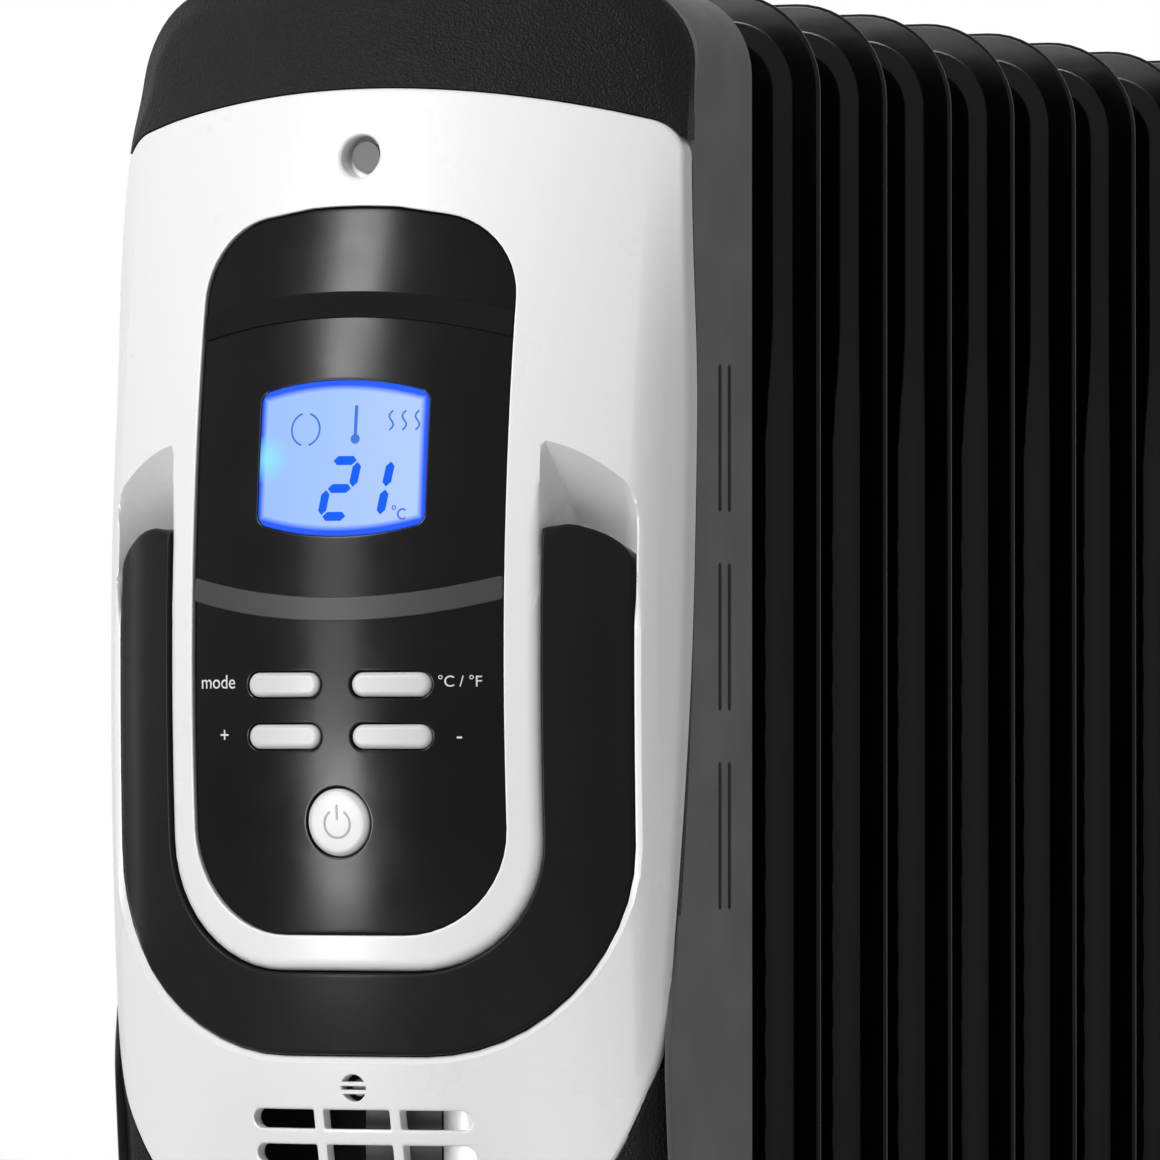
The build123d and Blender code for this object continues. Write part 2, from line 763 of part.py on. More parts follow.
def scoop_block(x_low, x_high, z_low, z_high, behind):
    """Both scoops' space in front of a plane that runs behind the slanted floor."""
    corners = [
        (y_at(ramp_depth(z_low) - behind), z_low),
        (y_at(ramp_depth(z_high) - behind), z_high),
        (y_at(REACH), z_high),
        (y_at(REACH), z_low),
    ]
    with BuildPart() as block:
        with BuildSketch(Plane.YZ.offset(x_low)):
            with BuildLine():
                Polyline(*corners, close=True)
            make_face()
        extrude(amount=x_high - x_low)
        mirror(about=Plane.YZ)
    return block.part


with BuildPart() as pivot_bosses:
    add(on_both_sides(TROUGH_INNER - TROUGH_WALL, TROUGH_OUTER + TROUGH_WALL, PIVOT_DEPTH, PIVOT_Z, BOSS_R))
    add(bow_block(COVER_BACK), mode=Mode.INTERSECT)

vent_low = VENT_TOP_Z - (VENT_ROWS - 1) * VENT_STEP - VENT_HEIGHT / 2 - VENT_MARGIN
vent_high = SENSOR_Z + SENSOR_TUBE / 2 + COVER_SEAT
vent_half = VENT_LENGTH / 2 + VENT_MARGIN

with BuildPart() as front_shell:
    add(behind_bow(shell_outline(0), HOOD_INSET))
    add(behind_bow(shell_outline(SKIRT_WALL), SHELL_BACK), mode=Mode.SUBTRACT)
    add(bow_block(SKIRT_DEPTH), mode=Mode.SUBTRACT)
    add(before_bow(cover_outline(COVER_GAP), COVER_BACK), mode=Mode.SUBTRACT)
    add(prism(return_strips(COVER_GAP)), mode=Mode.SUBTRACT)
    add(prism(panel_outline(PANEL_FLANGE + COVER_GAP)), mode=Mode.SUBTRACT)
    add(prism(rectangle_outline(-vent_half, vent_half, vent_low, vent_high)), mode=Mode.SUBTRACT)
    scoop_gap = SCOOP_CHEEK + COVER_GAP
    scoop_window = both_windows(
        TROUGH_INNER - scoop_gap, TROUGH_OUTER + scoop_gap, SCOOP_LOW, SCOOP_HIGH + COVER_GAP
    )
    add(prism(scoop_window), mode=Mode.SUBTRACT)
    add(
        bowed_plate(
            handle_outline(HANDLE_GAP + TROUGH_WALL, PIVOT_Z), COVER_BACK, TROUGH_DEPTH + TROUGH_WALL
        )
    )
    add(pivot_bosses.part)
    add(before_bow(handle_outline(HANDLE_GAP, PIVOT_Z), TROUGH_DEPTH), mode=Mode.SUBTRACT)
    add(on_both_sides(TROUGH_INNER, TROUGH_OUTER, PIVOT_DEPTH, PIVOT_Z, POCKET_R), mode=Mode.SUBTRACT)
    add(
        scoop_block(TROUGH_INNER, TROUGH_OUTER, SCOOP_LOW - KNUCKLE_GAP, SCOOP_HIGH, 0),
        mode=Mode.SUBTRACT,
    )
    add(
        on_both_sides(TROUGH_INNER - TROUGH_WALL, TROUGH_INNER, PIVOT_DEPTH, PIVOT_Z, PIN_R),
        mode=Mode.SUBTRACT,
    )
    with BuildSketch(facing(SOCKET_BACK)):
        with Locations((0, SCREW_Z)):
            Circle(CUP_R + COVER_SEAT + SHELL_WALL)
    extrude(amount=SCREW_FACE - SHELL_BACK - SOCKET_BACK)
    with BuildSketch(facing(CUP_BACK - COVER_SEAT)):
        with Locations((0, SCREW_Z)):
            Circle(CUP_R + COVER_SEAT)
    extrude(amount=REACH, mode=Mode.SUBTRACT)
    with BuildSketch(facing(SOCKET_BACK)):
        with Locations((0, SCREW_Z)):
            Circle(SCREW_SHANK_R)
    extrude(amount=REACH, mode=Mode.SUBTRACT)
keep(front_shell, "front_shell")

with BuildPart() as handle_pins:
    pin_head_x = TROUGH_INNER - TROUGH_WALL
    add(on_both_sides(pin_head_x, HANDLE_INNER_HALF + PIN_REACH, PIVOT_DEPTH, PIVOT_Z, PIN_R))
    add(on_both_sides(pin_head_x - PIN_HEAD, pin_head_x, PIVOT_DEPTH, PIVOT_Z, PIN_HEAD_R))
keep(handle_pins, "handle_pins")

# Dark grey rear shell with slotted sides, and the plate that closes it

with BuildPart() as rear_shell:
    add(prism(shell_outline(REAR_TRIM)))
    add(prism(shell_outline(REAR_TRIM + SIDE_WALL)), mode=Mode.SUBTRACT)
    for side_x in (-1, 1):
        for side_z, height in ((-1, HOUSING_BOTTOM), (1, HOUSING_TOP)):
            post_x = side_x * (REAR_HALF - SIDE_WALL - CORNER_POST / 2)
            with BuildSketch(facing(REAR_PLATE_FRONT)):
                with Locations((post_x, height - side_z * CORNER_POST_INSET)):
                    Rectangle(CORNER_POST + SIDE_WALL, CORNER_POST)
            extrude(amount=CORNER_POST_DEPTH)
            with BuildSketch(facing(REAR_PLATE_FRONT)):
                with Locations((post_x, height - side_z * CORNER_POST_INSET)):
                    Circle(PLATE_SCREW_R)
            extrude(amount=PLATE_SCREW_LENGTH, mode=Mode.SUBTRACT)
    add(bow_block(COVER_RETURN + COVER_GAP + LAP_GAP), mode=Mode.INTERSECT)
    with BuildSketch(facing(PRISM_START)):
        add(shell_outline(0))
    extrude(amount=HOUSING_REAR - PRISM_START, mode=Mode.SUBTRACT)
    with BuildSketch(Plane.YZ) as side_slots:
        for slot_depth in SIDE_SLOT_DEPTHS:
            for slot_row in range(SIDE_SLOT_ROWS):
                slot_z = SIDE_SLOT_MIDDLE + (slot_row - (SIDE_SLOT_ROWS - 1) / 2) * SIDE_SLOT_STEP
                with Locations((y_at(slot_depth), slot_z)):
                    SlotOverall(SIDE_SLOT_LENGTH, SIDE_SLOT_WIDTH, rotation=90)
    extrude(amount=HOUSING_HALF, both=True, mode=Mode.SUBTRACT)
    with BuildSketch(Plane.XY.offset(BOTTOM_WALL_LOW)):
        with Locations((0, y_at(GLAND_DEPTH))):
            Circle(GLAND_NECK_R)
    extrude(amount=SIDE_WALL, mode=Mode.SUBTRACT)
keep(rear_shell, "rear_shell")

plate_shrink = REAR_TRIM + SIDE_WALL + PLATE_GAP
plate_post_x = REAR_HALF - SIDE_WALL - CORNER_POST / 2
plate_spots = [
    (plate_post_x, HOUSING_TOP - CORNER_POST_INSET),
    (-plate_post_x, HOUSING_TOP - CORNER_POST_INSET),
    (plate_post_x, HOUSING_BOTTOM + CORNER_POST_INSET),
    (-plate_post_x, HOUSING_BOTTOM + CORNER_POST_INSET),
]
power_half_x = POWER_BOARD_WIDTH / 2 - POWER_POST_INSET
power_half_z = POWER_BOARD_HEIGHT / 2 - POWER_POST_INSET

with BuildPart() as rear_plate:
    with BuildSketch(facing(REAR_PLATE_BACK)):
        add(shell_outline(plate_shrink))
        with Locations(*plate_spots):
            Circle(PLATE_SCREW_R, mode=Mode.SUBTRACT)
        with Locations((0, LOWER_GALLERY_Z)):
            Circle(WIRE_HOLE_R, mode=Mode.SUBTRACT)
    extrude(amount=REAR_PLATE_THICK)
    with BuildSketch(facing(REAR_PLATE_FRONT)):
        with Locations((0, POWER_BOARD_Z)):
            with GridLocations(2 * power_half_x, 2 * power_half_z, 2, 2):
                Circle(POWER_POST_R)
    extrude(amount=POWER_POST)
keep(rear_plate, "rear_plate")

with BuildPart() as housing_screws:
    with BuildSketch(facing(REAR_PLATE_BACK)):
        with Locations(*plate_spots):
            Circle(PLATE_SCREW_HEAD_R)
    extrude(amount=-PLATE_SCREW_HEAD)
    with BuildSketch(facing(REAR_PLATE_BACK)):
        with Locations(*plate_spots):
            Circle(PLATE_SCREW_R)
    extrude(amount=REAR_PLATE_THICK + PLATE_SCREW_LENGTH)
keep(housing_screws, "housing_screws")

with BuildPart() as housing_brackets:
    strut_depth = REAR_PLATE_BACK - PRESS_LOW
    for strut_z in STRUT_HEIGHTS:
        with BuildSketch(Plane.XY.offset(strut_z - STRUT_HEIGHT / 2)):
            with Locations((0, y_at((REAR_PLATE_BACK + PRESS_LOW) / 2))):
                Rectangle(STRUT_WIDTH, strut_depth)
                Rectangle(STRUT_WIDTH - 2 * STRUT_SHEET, strut_depth - 2 * STRUT_SHEET, mode=Mode.SUBTRACT)
        extrude(amount=STRUT_HEIGHT)
keep(housing_brackets, "housing_brackets")

# White front cover with its panel window, handle slot, scoops, vents, sensor hole and screw recess

SENSOR_FACE = front_depth(0, SENSOR_Z)
SENSOR_TUBE_BACK = SENSOR_FACE - SENSOR_TUBE_DEPTH

with BuildPart() as scoops:
    cheek_low = TROUGH_INNER - SCOOP_CHEEK
    cheek_high = TROUGH_OUTER + SCOOP_CHEEK
    add(scoop_block(cheek_low, cheek_high, SCOOP_LOW + COVER_GAP, SCOOP_HIGH, SCOOP_WALL))
    add(bow_block(0), mode=Mode.INTERSECT)
    boss_low = TROUGH_INNER - TROUGH_WALL
    boss_high = TROUGH_OUTER + TROUGH_WALL
    boss_gap = BOSS_R + COVER_SEAT
    add(on_both_sides(boss_low, boss_high, PIVOT_DEPTH, PIVOT_Z, boss_gap), mode=Mode.SUBTRACT)

with BuildPart() as front_cover:
    add(behind_bow(cover_outline(0), 0))
    add(behind_bow(cover_hollow(), COVER_WALL), mode=Mode.SUBTRACT)
    add(bow_block(COVER_RETURN), mode=Mode.SUBTRACT)
    add(scoops.part)
    with BuildSketch(facing(CUP_BACK)):
        with Locations((0, SCREW_Z)):
            Circle(CUP_R)
    extrude(amount=SCREW_CUP_DEPTH - COVER_WALL / 2)
    with BuildSketch(facing(SENSOR_TUBE_BACK)):
        with Locations((0, SENSOR_Z)):
            Circle(SENSOR_TUBE / 2)
    extrude(amount=SENSOR_TUBE_DEPTH - COVER_WALL / 2)
    add(prism(panel_outline(PANEL_GAP)), mode=Mode.SUBTRACT)
    add(prism(handle_outline(HANDLE_GAP, PIVOT_Z + KNUCKLE_R + KNUCKLE_GAP)), mode=Mode.SUBTRACT)
    add(
        scoop_block(TROUGH_INNER, TROUGH_OUTER, PIVOT_Z, SCOOP_HIGH, 0),
        mode=Mode.SUBTRACT,
    )
    add(prism(vent_outline()), mode=Mode.SUBTRACT)
    with BuildSketch(facing(PRISM_START)):
        with Locations((0, SENSOR_Z)):
            Circle(SENSOR_HOLE / 2)
        for bar_side in (-1, 1):
            with Locations((0, SENSOR_Z + bar_side * SENSOR_BAR_STEP / 2)):
                Rectangle(SENSOR_HOLE, SENSOR_BAR, mode=Mode.SUBTRACT)
    extrude(amount=REACH, mode=Mode.SUBTRACT)
    with BuildSketch(facing(PRISM_START)):
        with Locations((0, SENSOR_Z)):
            Circle(SENSOR_HOLE / 2)
    extrude(amount=SENSOR_FACE - COVER_WALL - PRISM_START, mode=Mode.SUBTRACT)
    with BuildSketch(facing(CUP_BACK + SCREW_CUP_FLOOR)):
        with Locations((0, SCREW_Z)):
            Circle(SCREW_RECESS / 2)
    extrude(amount=REACH, mode=Mode.SUBTRACT)
    with BuildSketch(facing(CUP_BACK)):
        with Locations((0, SCREW_Z)):
            Circle(SCREW_SHANK_R)
    extrude(amount=REACH, mode=Mode.SUBTRACT)
keep(front_cover, "front_cover")

with BuildPart() as cover_screw:
    with BuildSketch(facing(CUP_BACK + SCREW_CUP_FLOOR)):
        with Locations((0, SCREW_Z)):
            Circle(SCREW_HEAD_R)
    extrude(amount=SCREW_HEAD_THICK)
    with BuildSketch(facing(SOCKET_BACK)):
        with Locations((0, SCREW_Z)):
            Circle(SCREW_SHANK_R)
    extrude(amount=CUP_BACK + SCREW_CUP_FLOOR - SOCKET_BACK)
keep(cover_screw, "cover_screw")

with BuildPart() as room_sensor:
    with BuildSketch(facing(SENSOR_TUBE_BACK)):
        with Locations((0, SENSOR_Z)):
            Circle(SENSOR_TUBE / 2)
    extrude(amount=-SENSOR_FLANGE)
    with BuildSketch(facing(SENSOR_TUBE_BACK)):
        with Locations((0, SENSOR_Z)):
            Circle(SENSOR_BEAD_R)
    extrude(amount=SENSOR_BEAD_LENGTH)
keep(room_sensor, "room_sensor")

# Control panel, its bands, the display and the boards behind it

board_middle_z = (BOARD_TOP + BOARD_BOTTOM) / 2
post_half_z = (BOARD_TOP - BOARD_BOTTOM) / 2 - BOARD_POST_INSET

with BuildPart() as board_posts:
    with BuildSketch(facing(BOARD_FRONT)):
        with Locations((0, board_middle_z)):
            with GridLocations(2 * BOARD_POST_HALF, 2 * post_half_z, 2, 2):
                Circle(BOARD_POST_R)
    extrude(amount=REACH)
    add(bow_block(PANEL_INSET + PANEL_FLANGE_THICK), mode=Mode.INTERSECT)

with BuildPart() as control_panel:
    add(bowed_plate(panel_outline(0), PANEL_INSET, PANEL_BACK))
    add(bowed_plate(panel_outline(PANEL_FLANGE), COVER_WALL, PANEL_BACK))
    add(board_posts.part)
    add(before_bow(lens_outline(LENS_GAP), PANEL_INSET + LENS_THICK), mode=Mode.SUBTRACT)
    add(prism(lens_outline(-LENS_LEDGE)), mode=Mode.SUBTRACT)
    add(prism(all_buttons(BUTTON_GAP)), mode=Mode.SUBTRACT)
    with BuildSketch(facing(BOARD_FRONT)):
        with Locations((0, board_middle_z)):
            with GridLocations(2 * BOARD_POST_HALF, 2 * post_half_z, 2, 2):
                Circle(SCREW_SHANK_R)
    extrude(amount=BOARD_THICK, mode=Mode.SUBTRACT)
keep(control_panel, "control_panel")

with BuildPart() as accent_bands:
    add(
        bowed_plate(
            band_outline(UPPER_BAND_Z, UPPER_BAND_WIDTH, 1), PANEL_INSET - BAND_PROUD, PANEL_INSET
        )
    )
    add(
        bowed_plate(
            band_outline(LOWER_BAND_Z, LOWER_BAND_WIDTH, -1), PANEL_INSET - BAND_PROUD, PANEL_INSET
        )
    )
keep(accent_bands, "accent_bands")

with BuildPart() as display_lens:
    add(bowed_plate(lens_outline(0), PANEL_INSET, PANEL_INSET + LENS_THICK))
keep(display_lens, "display_lens")

lcd_width = 2 * (LENS_HALF + LCD_MARGIN)
lcd_height = 2 * (LENS_HALF_HEIGHT + LCD_MARGIN)

with BuildPart() as backlight_panel:
    with BuildSketch(facing(BOARD_FRONT)):
        with Locations((0, LENS_MIDDLE_Z)):
            Rectangle(lcd_width, lcd_height)
    extrude(amount=BACKLIGHT_THICK)
keep(backlight_panel, "backlight_panel")

with BuildPart() as lcd_module:
    with BuildSketch(facing(BOARD_FRONT + BACKLIGHT_THICK)):
        with Locations((0, LENS_MIDDLE_Z)):
            Rectangle(lcd_width, lcd_height)
    extrude(amount=LCD_THICK)
keep(lcd_module, "lcd_module")

with BuildPart() as control_board:
    with BuildSketch(facing(BOARD_DEPTH)):
        with Locations((0, board_middle_z)):
            Rectangle(2 * BOARD_HALF, BOARD_TOP - BOARD_BOTTOM)
            with GridLocations(2 * BOARD_POST_HALF, 2 * post_half_z, 2, 2):
                Circle(SCREW_SHANK_R, mode=Mode.SUBTRACT)
    extrude(amount=BOARD_THICK)
keep(control_board, "control_board")

with BuildPart() as board_screws:
    with BuildSketch(facing(BOARD_DEPTH)):
        with Locations((0, board_middle_z)):
            with GridLocations(2 * BOARD_POST_HALF, 2 * post_half_z, 2, 2):
                Circle(SCREW_HEAD_R)
    extrude(amount=-SCREW_HEAD_THICK)
    with BuildSketch(facing(BOARD_DEPTH)):
        with Locations((0, board_middle_z)):
            with GridLocations(2 * BOARD_POST_HALF, 2 * post_half_z, 2, 2):
                Circle(SCREW_SHANK_R)
    extrude(amount=2 * BOARD_THICK)
keep(board_screws, "board_screws")

with BuildPart() as tact_switches:
    with BuildSketch(facing(BOARD_FRONT)):
        with Locations(*BUTTON_SPOTS.values()):
            Rectangle(TACT_SIZE, TACT_SIZE)
    extrude(amount=TACT_HEIGHT)
keep(tact_switches, "tact_switches")

for button_name, (button_x, button_z) in BUTTON_SPOTS.items():
    lip_edge = abs(button_x) + BUTTON_LENGTH / 2 + BUTTON_LIP
    lip_front = front_depth(lip_edge, button_z, PANEL_BACK + BUTTON_LIP_FRONT_GAP)
    with BuildPart() as button:
        with BuildSketch(facing(LIP_BACK)):
            add(button_outline(button_name, BUTTON_LIP))
        extrude(amount=lip_front - LIP_BACK)
        with BuildSketch(facing(LIP_BACK)):
            add(button_outline(button_name, 0))
        extrude(amount=REACH)
        add(bow_block(PANEL_INSET - BUTTON_PROUD), mode=Mode.INTERSECT)
    keep(button, f"button_{button_name}")

# Swing handle

HANDLE_TOP = PIVOT_Z + KNUCKLE_R

with BuildPart() as knuckle_waste:
    add(prism(rectangle_outline(-HOUSING_HALF, HOUSING_HALF, PIVOT_Z, SCOOP_TOP)))
    add(rod_along_x(-HOUSING_HALF, HOUSING_HALF, PIVOT_DEPTH, PIVOT_Z, KNUCKLE_R), mode=Mode.SUBTRACT)

with BuildPart() as handle:
    add(bowed_plate(handle_outline(0, HANDLE_TOP), 0, HANDLE_THICK))
    add(knuckle_waste.part, mode=Mode.SUBTRACT)
    add(
        on_both_sides(
            HANDLE_INNER_HALF - HANDLE_GAP,
            HANDLE_INNER_HALF + PIN_REACH + HANDLE_GAP,
            PIVOT_DEPTH,
            PIVOT_Z,
            PIN_R + PIN_FIT,
        ),
        mode=Mode.SUBTRACT,
    )
keep(handle, "handle")

# Parts carried by the rear plate


def plate_box(x, z, width, height, back, front):
    """A block between two depths."""
    with BuildPart() as block:
        with BuildSketch(facing(back)):
            with Locations((x, z)):
                Rectangle(width, height)
        extrude(amount=front - back)
    return block


with BuildPart() as power_board:
    with BuildSketch(facing(POWER_BOARD_BACK)):
        with Locations((0, POWER_BOARD_Z)):
            Rectangle(POWER_BOARD_WIDTH, POWER_BOARD_HEIGHT)
    extrude(amount=BOARD_THICK)
keep(power_board, "power_board")

with BuildPart() as relays:
    with BuildSketch(facing(POWER_BOARD_FRONT)):
        with Locations((-RELAY_X, POWER_BOARD_Z + RELAY_RISE), (RELAY_X, POWER_BOARD_Z + RELAY_RISE)):
            Rectangle(RELAY_WIDTH, RELAY_HEIGHT)
    extrude(amount=RELAY_HEIGHT)
    fillet(relays.edges().filter_by(Axis.Y), RELAY_EDGE)
keep(relays, "relays")

transformer_z = POWER_BOARD_Z - TRANSFORMER_DROP
transformer_front = POWER_BOARD_FRONT + TRANSFORMER_HEIGHT
transformer = plate_box(
    0, transformer_z, TRANSFORMER_WIDTH, TRANSFORMER_HEIGHT, POWER_BOARD_FRONT, transformer_front
)
keep(transformer, "transformer")

terminal_block = plate_box(
    0, TERMINAL_Z, TERMINAL_WIDTH, TERMINAL_HEIGHT, REAR_PLATE_FRONT, REAR_PLATE_FRONT + TERMINAL_THICK
)
keep(terminal_block, "terminal_block")

tip_over_switch = plate_box(
    TIP_X, TIP_Z, TIP_WIDTH, TIP_HEIGHT, REAR_PLATE_FRONT, REAR_PLATE_FRONT + TIP_THICK
)
keep(tip_over_switch, "tip_over_switch")

with BuildPart() as ribbon_cable:
    ribbon_top = BOARD_BOTTOM + RIBBON_DROP
    ribbon_low = POWER_BOARD_Z + RIBBON_RISE
    with BuildSketch(Plane.YZ.offset(-RIBBON_WIDTH / 2)):
        with BuildLine():
            FilletPolyline(
                (y_at(BOARD_DEPTH), ribbon_top),
                (y_at(RIBBON_DEPTH), ribbon_top),
                (y_at(RIBBON_DEPTH), ribbon_low),
                (y_at(POWER_BOARD_FRONT), ribbon_low),
                radius=RIBBON_BEND,
            )
            offset(amount=RIBBON_THICK, side=Side.LEFT)
        make_face()
    extrude(amount=RIBBON_WIDTH)
keep(ribbon_cable, "ribbon_cable")

with BuildPart() as cord_gland:
    for ring_low, ring_high, ring_r in (
        (BOTTOM_WALL_LOW - GLAND_HEAD, BOTTOM_WALL_LOW, GLAND_HEAD_R),
        (BOTTOM_WALL_LOW, BOTTOM_WALL_HIGH, GLAND_NECK_R),
        (BOTTOM_WALL_HIGH, BOTTOM_WALL_HIGH + GLAND_NUT, GLAND_HEAD_R),
    ):
        with BuildSketch(Plane.XY.offset(ring_low)):
            with Locations((0, y_at(GLAND_DEPTH))):
                Circle(ring_r)
                Circle(GLAND_BORE_R, mode=Mode.SUBTRACT)
        extrude(amount=ring_high - ring_low)
keep(cord_gland, "cord_gland")

# Feet, hung under the lower gallery by U-bolts


def foot(y):
    with BuildPart() as piece:
        with BuildSketch(Plane.XY.offset(FOOT_TOP)):
            with Locations((0, y)):
                RectangleRounded(FOOT_LENGTH, FOOT_DEPTH, FOOT_CORNER)
        extrude(amount=-FOOT_SKIRT)
        with BuildSketch(Plane.XY.offset(FOOT_TOP - FOOT_SHEET)):
            with Locations((0, y)):
                RectangleRounded(
                    FOOT_LENGTH - 2 * FOOT_SHEET, FOOT_DEPTH - 2 * FOOT_SHEET, FOOT_CORNER - FOOT_SHEET
                )
        extrude(amount=-FOOT_SKIRT, mode=Mode.SUBTRACT)
        with BuildSketch(Plane.XY.offset(SOCKET_BOTTOM)):
            with Locations((-CASTOR_X, y), (CASTOR_X, y)):
                Circle(SOCKET_R)
        extrude(amount=FOOT_TOP - FOOT_SHEET - SOCKET_BOTTOM)
        with BuildSketch(Plane.XY.offset(SOCKET_BOTTOM)):
            with Locations((-CASTOR_X, y), (CASTOR_X, y)):
                Circle(STEM_R + STEM_FIT)
        extrude(amount=FOOT_TOP - FOOT_SHEET - SOCKET_BOTTOM, mode=Mode.SUBTRACT)
        with BuildSketch(Plane.XY.offset(FOOT_TOP)):
            with Locations((-HOOK_BEND_R, y), (HOOK_BEND_R, y)):
                Circle(HOOK_ROD_R + HOOK_HOLE_GAP)
        extrude(amount=-FOOT_SHEET, mode=Mode.SUBTRACT)
    return piece


front_foot = foot(FOOT_YS[0])
keep(front_foot, "front_foot")
rear_foot = foot(FOOT_YS[1])
keep(rear_foot, "rear_foot")


def u_bolt(y):
    """A bent rod over one lower collar, with both legs down through the foot."""
    leg_end = FOOT_TOP - HOOK_TAIL
    with BuildPart() as piece:
        with BuildLine(Plane.XZ.offset(-y)) as path:
            Line((-HOOK_BEND_R, leg_end), (-HOOK_BEND_R, LOWER_GALLERY_Z))
            ThreePointArc(
                (-HOOK_BEND_R, LOWER_GALLERY_Z),
                (0, LOWER_GALLERY_Z + HOOK_BEND_R),
                (HOOK_BEND_R, LOWER_GALLERY_Z),
            )
            Line((HOOK_BEND_R, LOWER_GALLERY_Z), (HOOK_BEND_R, leg_end))
        with BuildSketch(Plane(origin=path.line @ 0, z_dir=path.line % 0)):
            Circle(HOOK_ROD_R)
        sweep()
    return piece.part


with BuildPart() as foot_u_bolts:
    for foot_y in FOOT_YS:
        add(u_bolt(foot_y))
keep(foot_u_bolts, "foot_u_bolts")

with BuildPart() as wing_nuts:
    nut_spots = [(side * HOOK_BEND_R, y) for y in FOOT_YS for side in (-1, 1)]
    nut_top = FOOT_TOP - FOOT_SHEET
    with BuildSketch(Plane.XY.offset(nut_top)):
        with Locations(*nut_spots):
            Circle(NUT_R)
    extrude(amount=-NUT_HEIGHT)
    with BuildSketch(Plane.XY.offset(nut_top - NUT_HEIGHT / 2)):
        with Locations(*nut_spots):
            SlotOverall(2 * WING_REACH, WING_THICK, rotation=90)
    extrude(amount=-WING_HEIGHT)
    with BuildSketch(Plane.XY.offset(nut_top)):
        with Locations(*nut_spots):
            Circle(HOOK_ROD_R)
    extrude(amount=-NUT_HEIGHT - WING_HEIGHT, mode=Mode.SUBTRACT)
keep(wing_nuts, "wing_nuts")

# Castors: a hooded fork on a stem, and twin wheels on an axle behind it


def castor_fork(x, y):
    axle = (y + CASTOR_TRAIL, WHEEL_R)
    with BuildPart() as piece:
        with BuildSketch(Plane.YZ.offset(x)):
            with Locations(axle):
                Circle(HOOD_OUTER_R)
            with Locations((axle[0], axle[1] - HOOD_OUTER_R / 2)):
                Rectangle(2 * HOOD_OUTER_R, HOOD_OUTER_R, mode=Mode.SUBTRACT)
        extrude(amount=CASTOR_HALF, both=True)
        with BuildSketch(Plane.XY.offset(WHEEL_R)):
            with Locations((x, y)):
                Circle(STEM_COLLAR_R)
        extrude(amount=STEM_COLLAR_TOP - WHEEL_R)
        for side in (-1, 1):
            with BuildSketch(Plane.YZ.offset(x + side * WEB_THICK / 2)):
                with Locations(axle):
                    Circle(HOOD_INNER_R)
            extrude(amount=side * CASTOR_HALF, mode=Mode.SUBTRACT)
        with BuildSketch(Plane.YZ.offset(x)):
            with Locations(axle):
                Circle(BEARING_R)
        extrude(amount=WEB_THICK / 2, both=True)
        with BuildSketch(Plane.XY.offset(STEM_COLLAR_TOP)):
            with Locations((x, y)):
                Circle(STEM_R)
        extrude(amount=STEM_TOP - STEM_COLLAR_TOP)
        with BuildSketch(Plane.YZ.offset(x)):
            with Locations(axle):
                Circle(AXLE_R + AXLE_FIT)
        extrude(amount=WEB_THICK, both=True, mode=Mode.SUBTRACT)
    return piece


def castor_wheels(x, y):
    axle = (y + CASTOR_TRAIL, WHEEL_R)
    wheel_middle = WEB_THICK / 2 + WHEEL_GAP + WHEEL_WIDTH / 2
    with BuildPart() as piece:
        for side in (-1, 1):
            with BuildSketch(Plane.YZ.offset(x + side * wheel_middle)):
                with Locations(axle):
                    Circle(WHEEL_R)
            extrude(amount=WHEEL_WIDTH / 2, both=True)
        fillet(piece.edges().filter_by(GeomType.CIRCLE), WHEEL_EDGE)
        for side in (-1, 1):
            with BuildSketch(Plane.YZ.offset(x + side * CASTOR_HALF)):
                with Locations(axle):
                    Circle(HUB_R)
            extrude(amount=-side * HUB_DISH, mode=Mode.SUBTRACT)
        with BuildSketch(Plane.YZ.offset(x)):
            with Locations(axle):
                Circle(AXLE_R + AXLE_SEAT)
        extrude(amount=CASTOR_HALF, both=True, mode=Mode.SUBTRACT)
        with BuildSketch(Plane.YZ.offset(x)):
            with Locations(axle):
                Circle(AXLE_R)
        extrude(amount=CASTOR_HALF - HUB_DISH, both=True)
    return piece


castor_spots = [(side * CASTOR_X, y) for y in FOOT_YS for side in (-1, 1)]
for number, (castor_x, castor_y) in enumerate(castor_spots, start=1):
    keep(castor_fork(castor_x, castor_y), f"castor_fork_{number}")
    keep(castor_wheels(castor_x, castor_y), f"castor_wheels_{number}")
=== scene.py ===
"""Looks of the oil filled radiator heater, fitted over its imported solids.

Outlines are drawn in millimetres, meshes are in metres, in the solids' own frame: +Z up, the control housing
faces -Y. A front piece is drawn flat, as x, inset and height, and is then laid on the bowed front.
"""
import json
from math import asin, atan2, cos, degrees, pi, radians, sin, sqrt, tan

import bmesh
import bpy
import numpy as np
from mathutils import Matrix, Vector
from mathutils.geometry import delaunay_2d_cdt


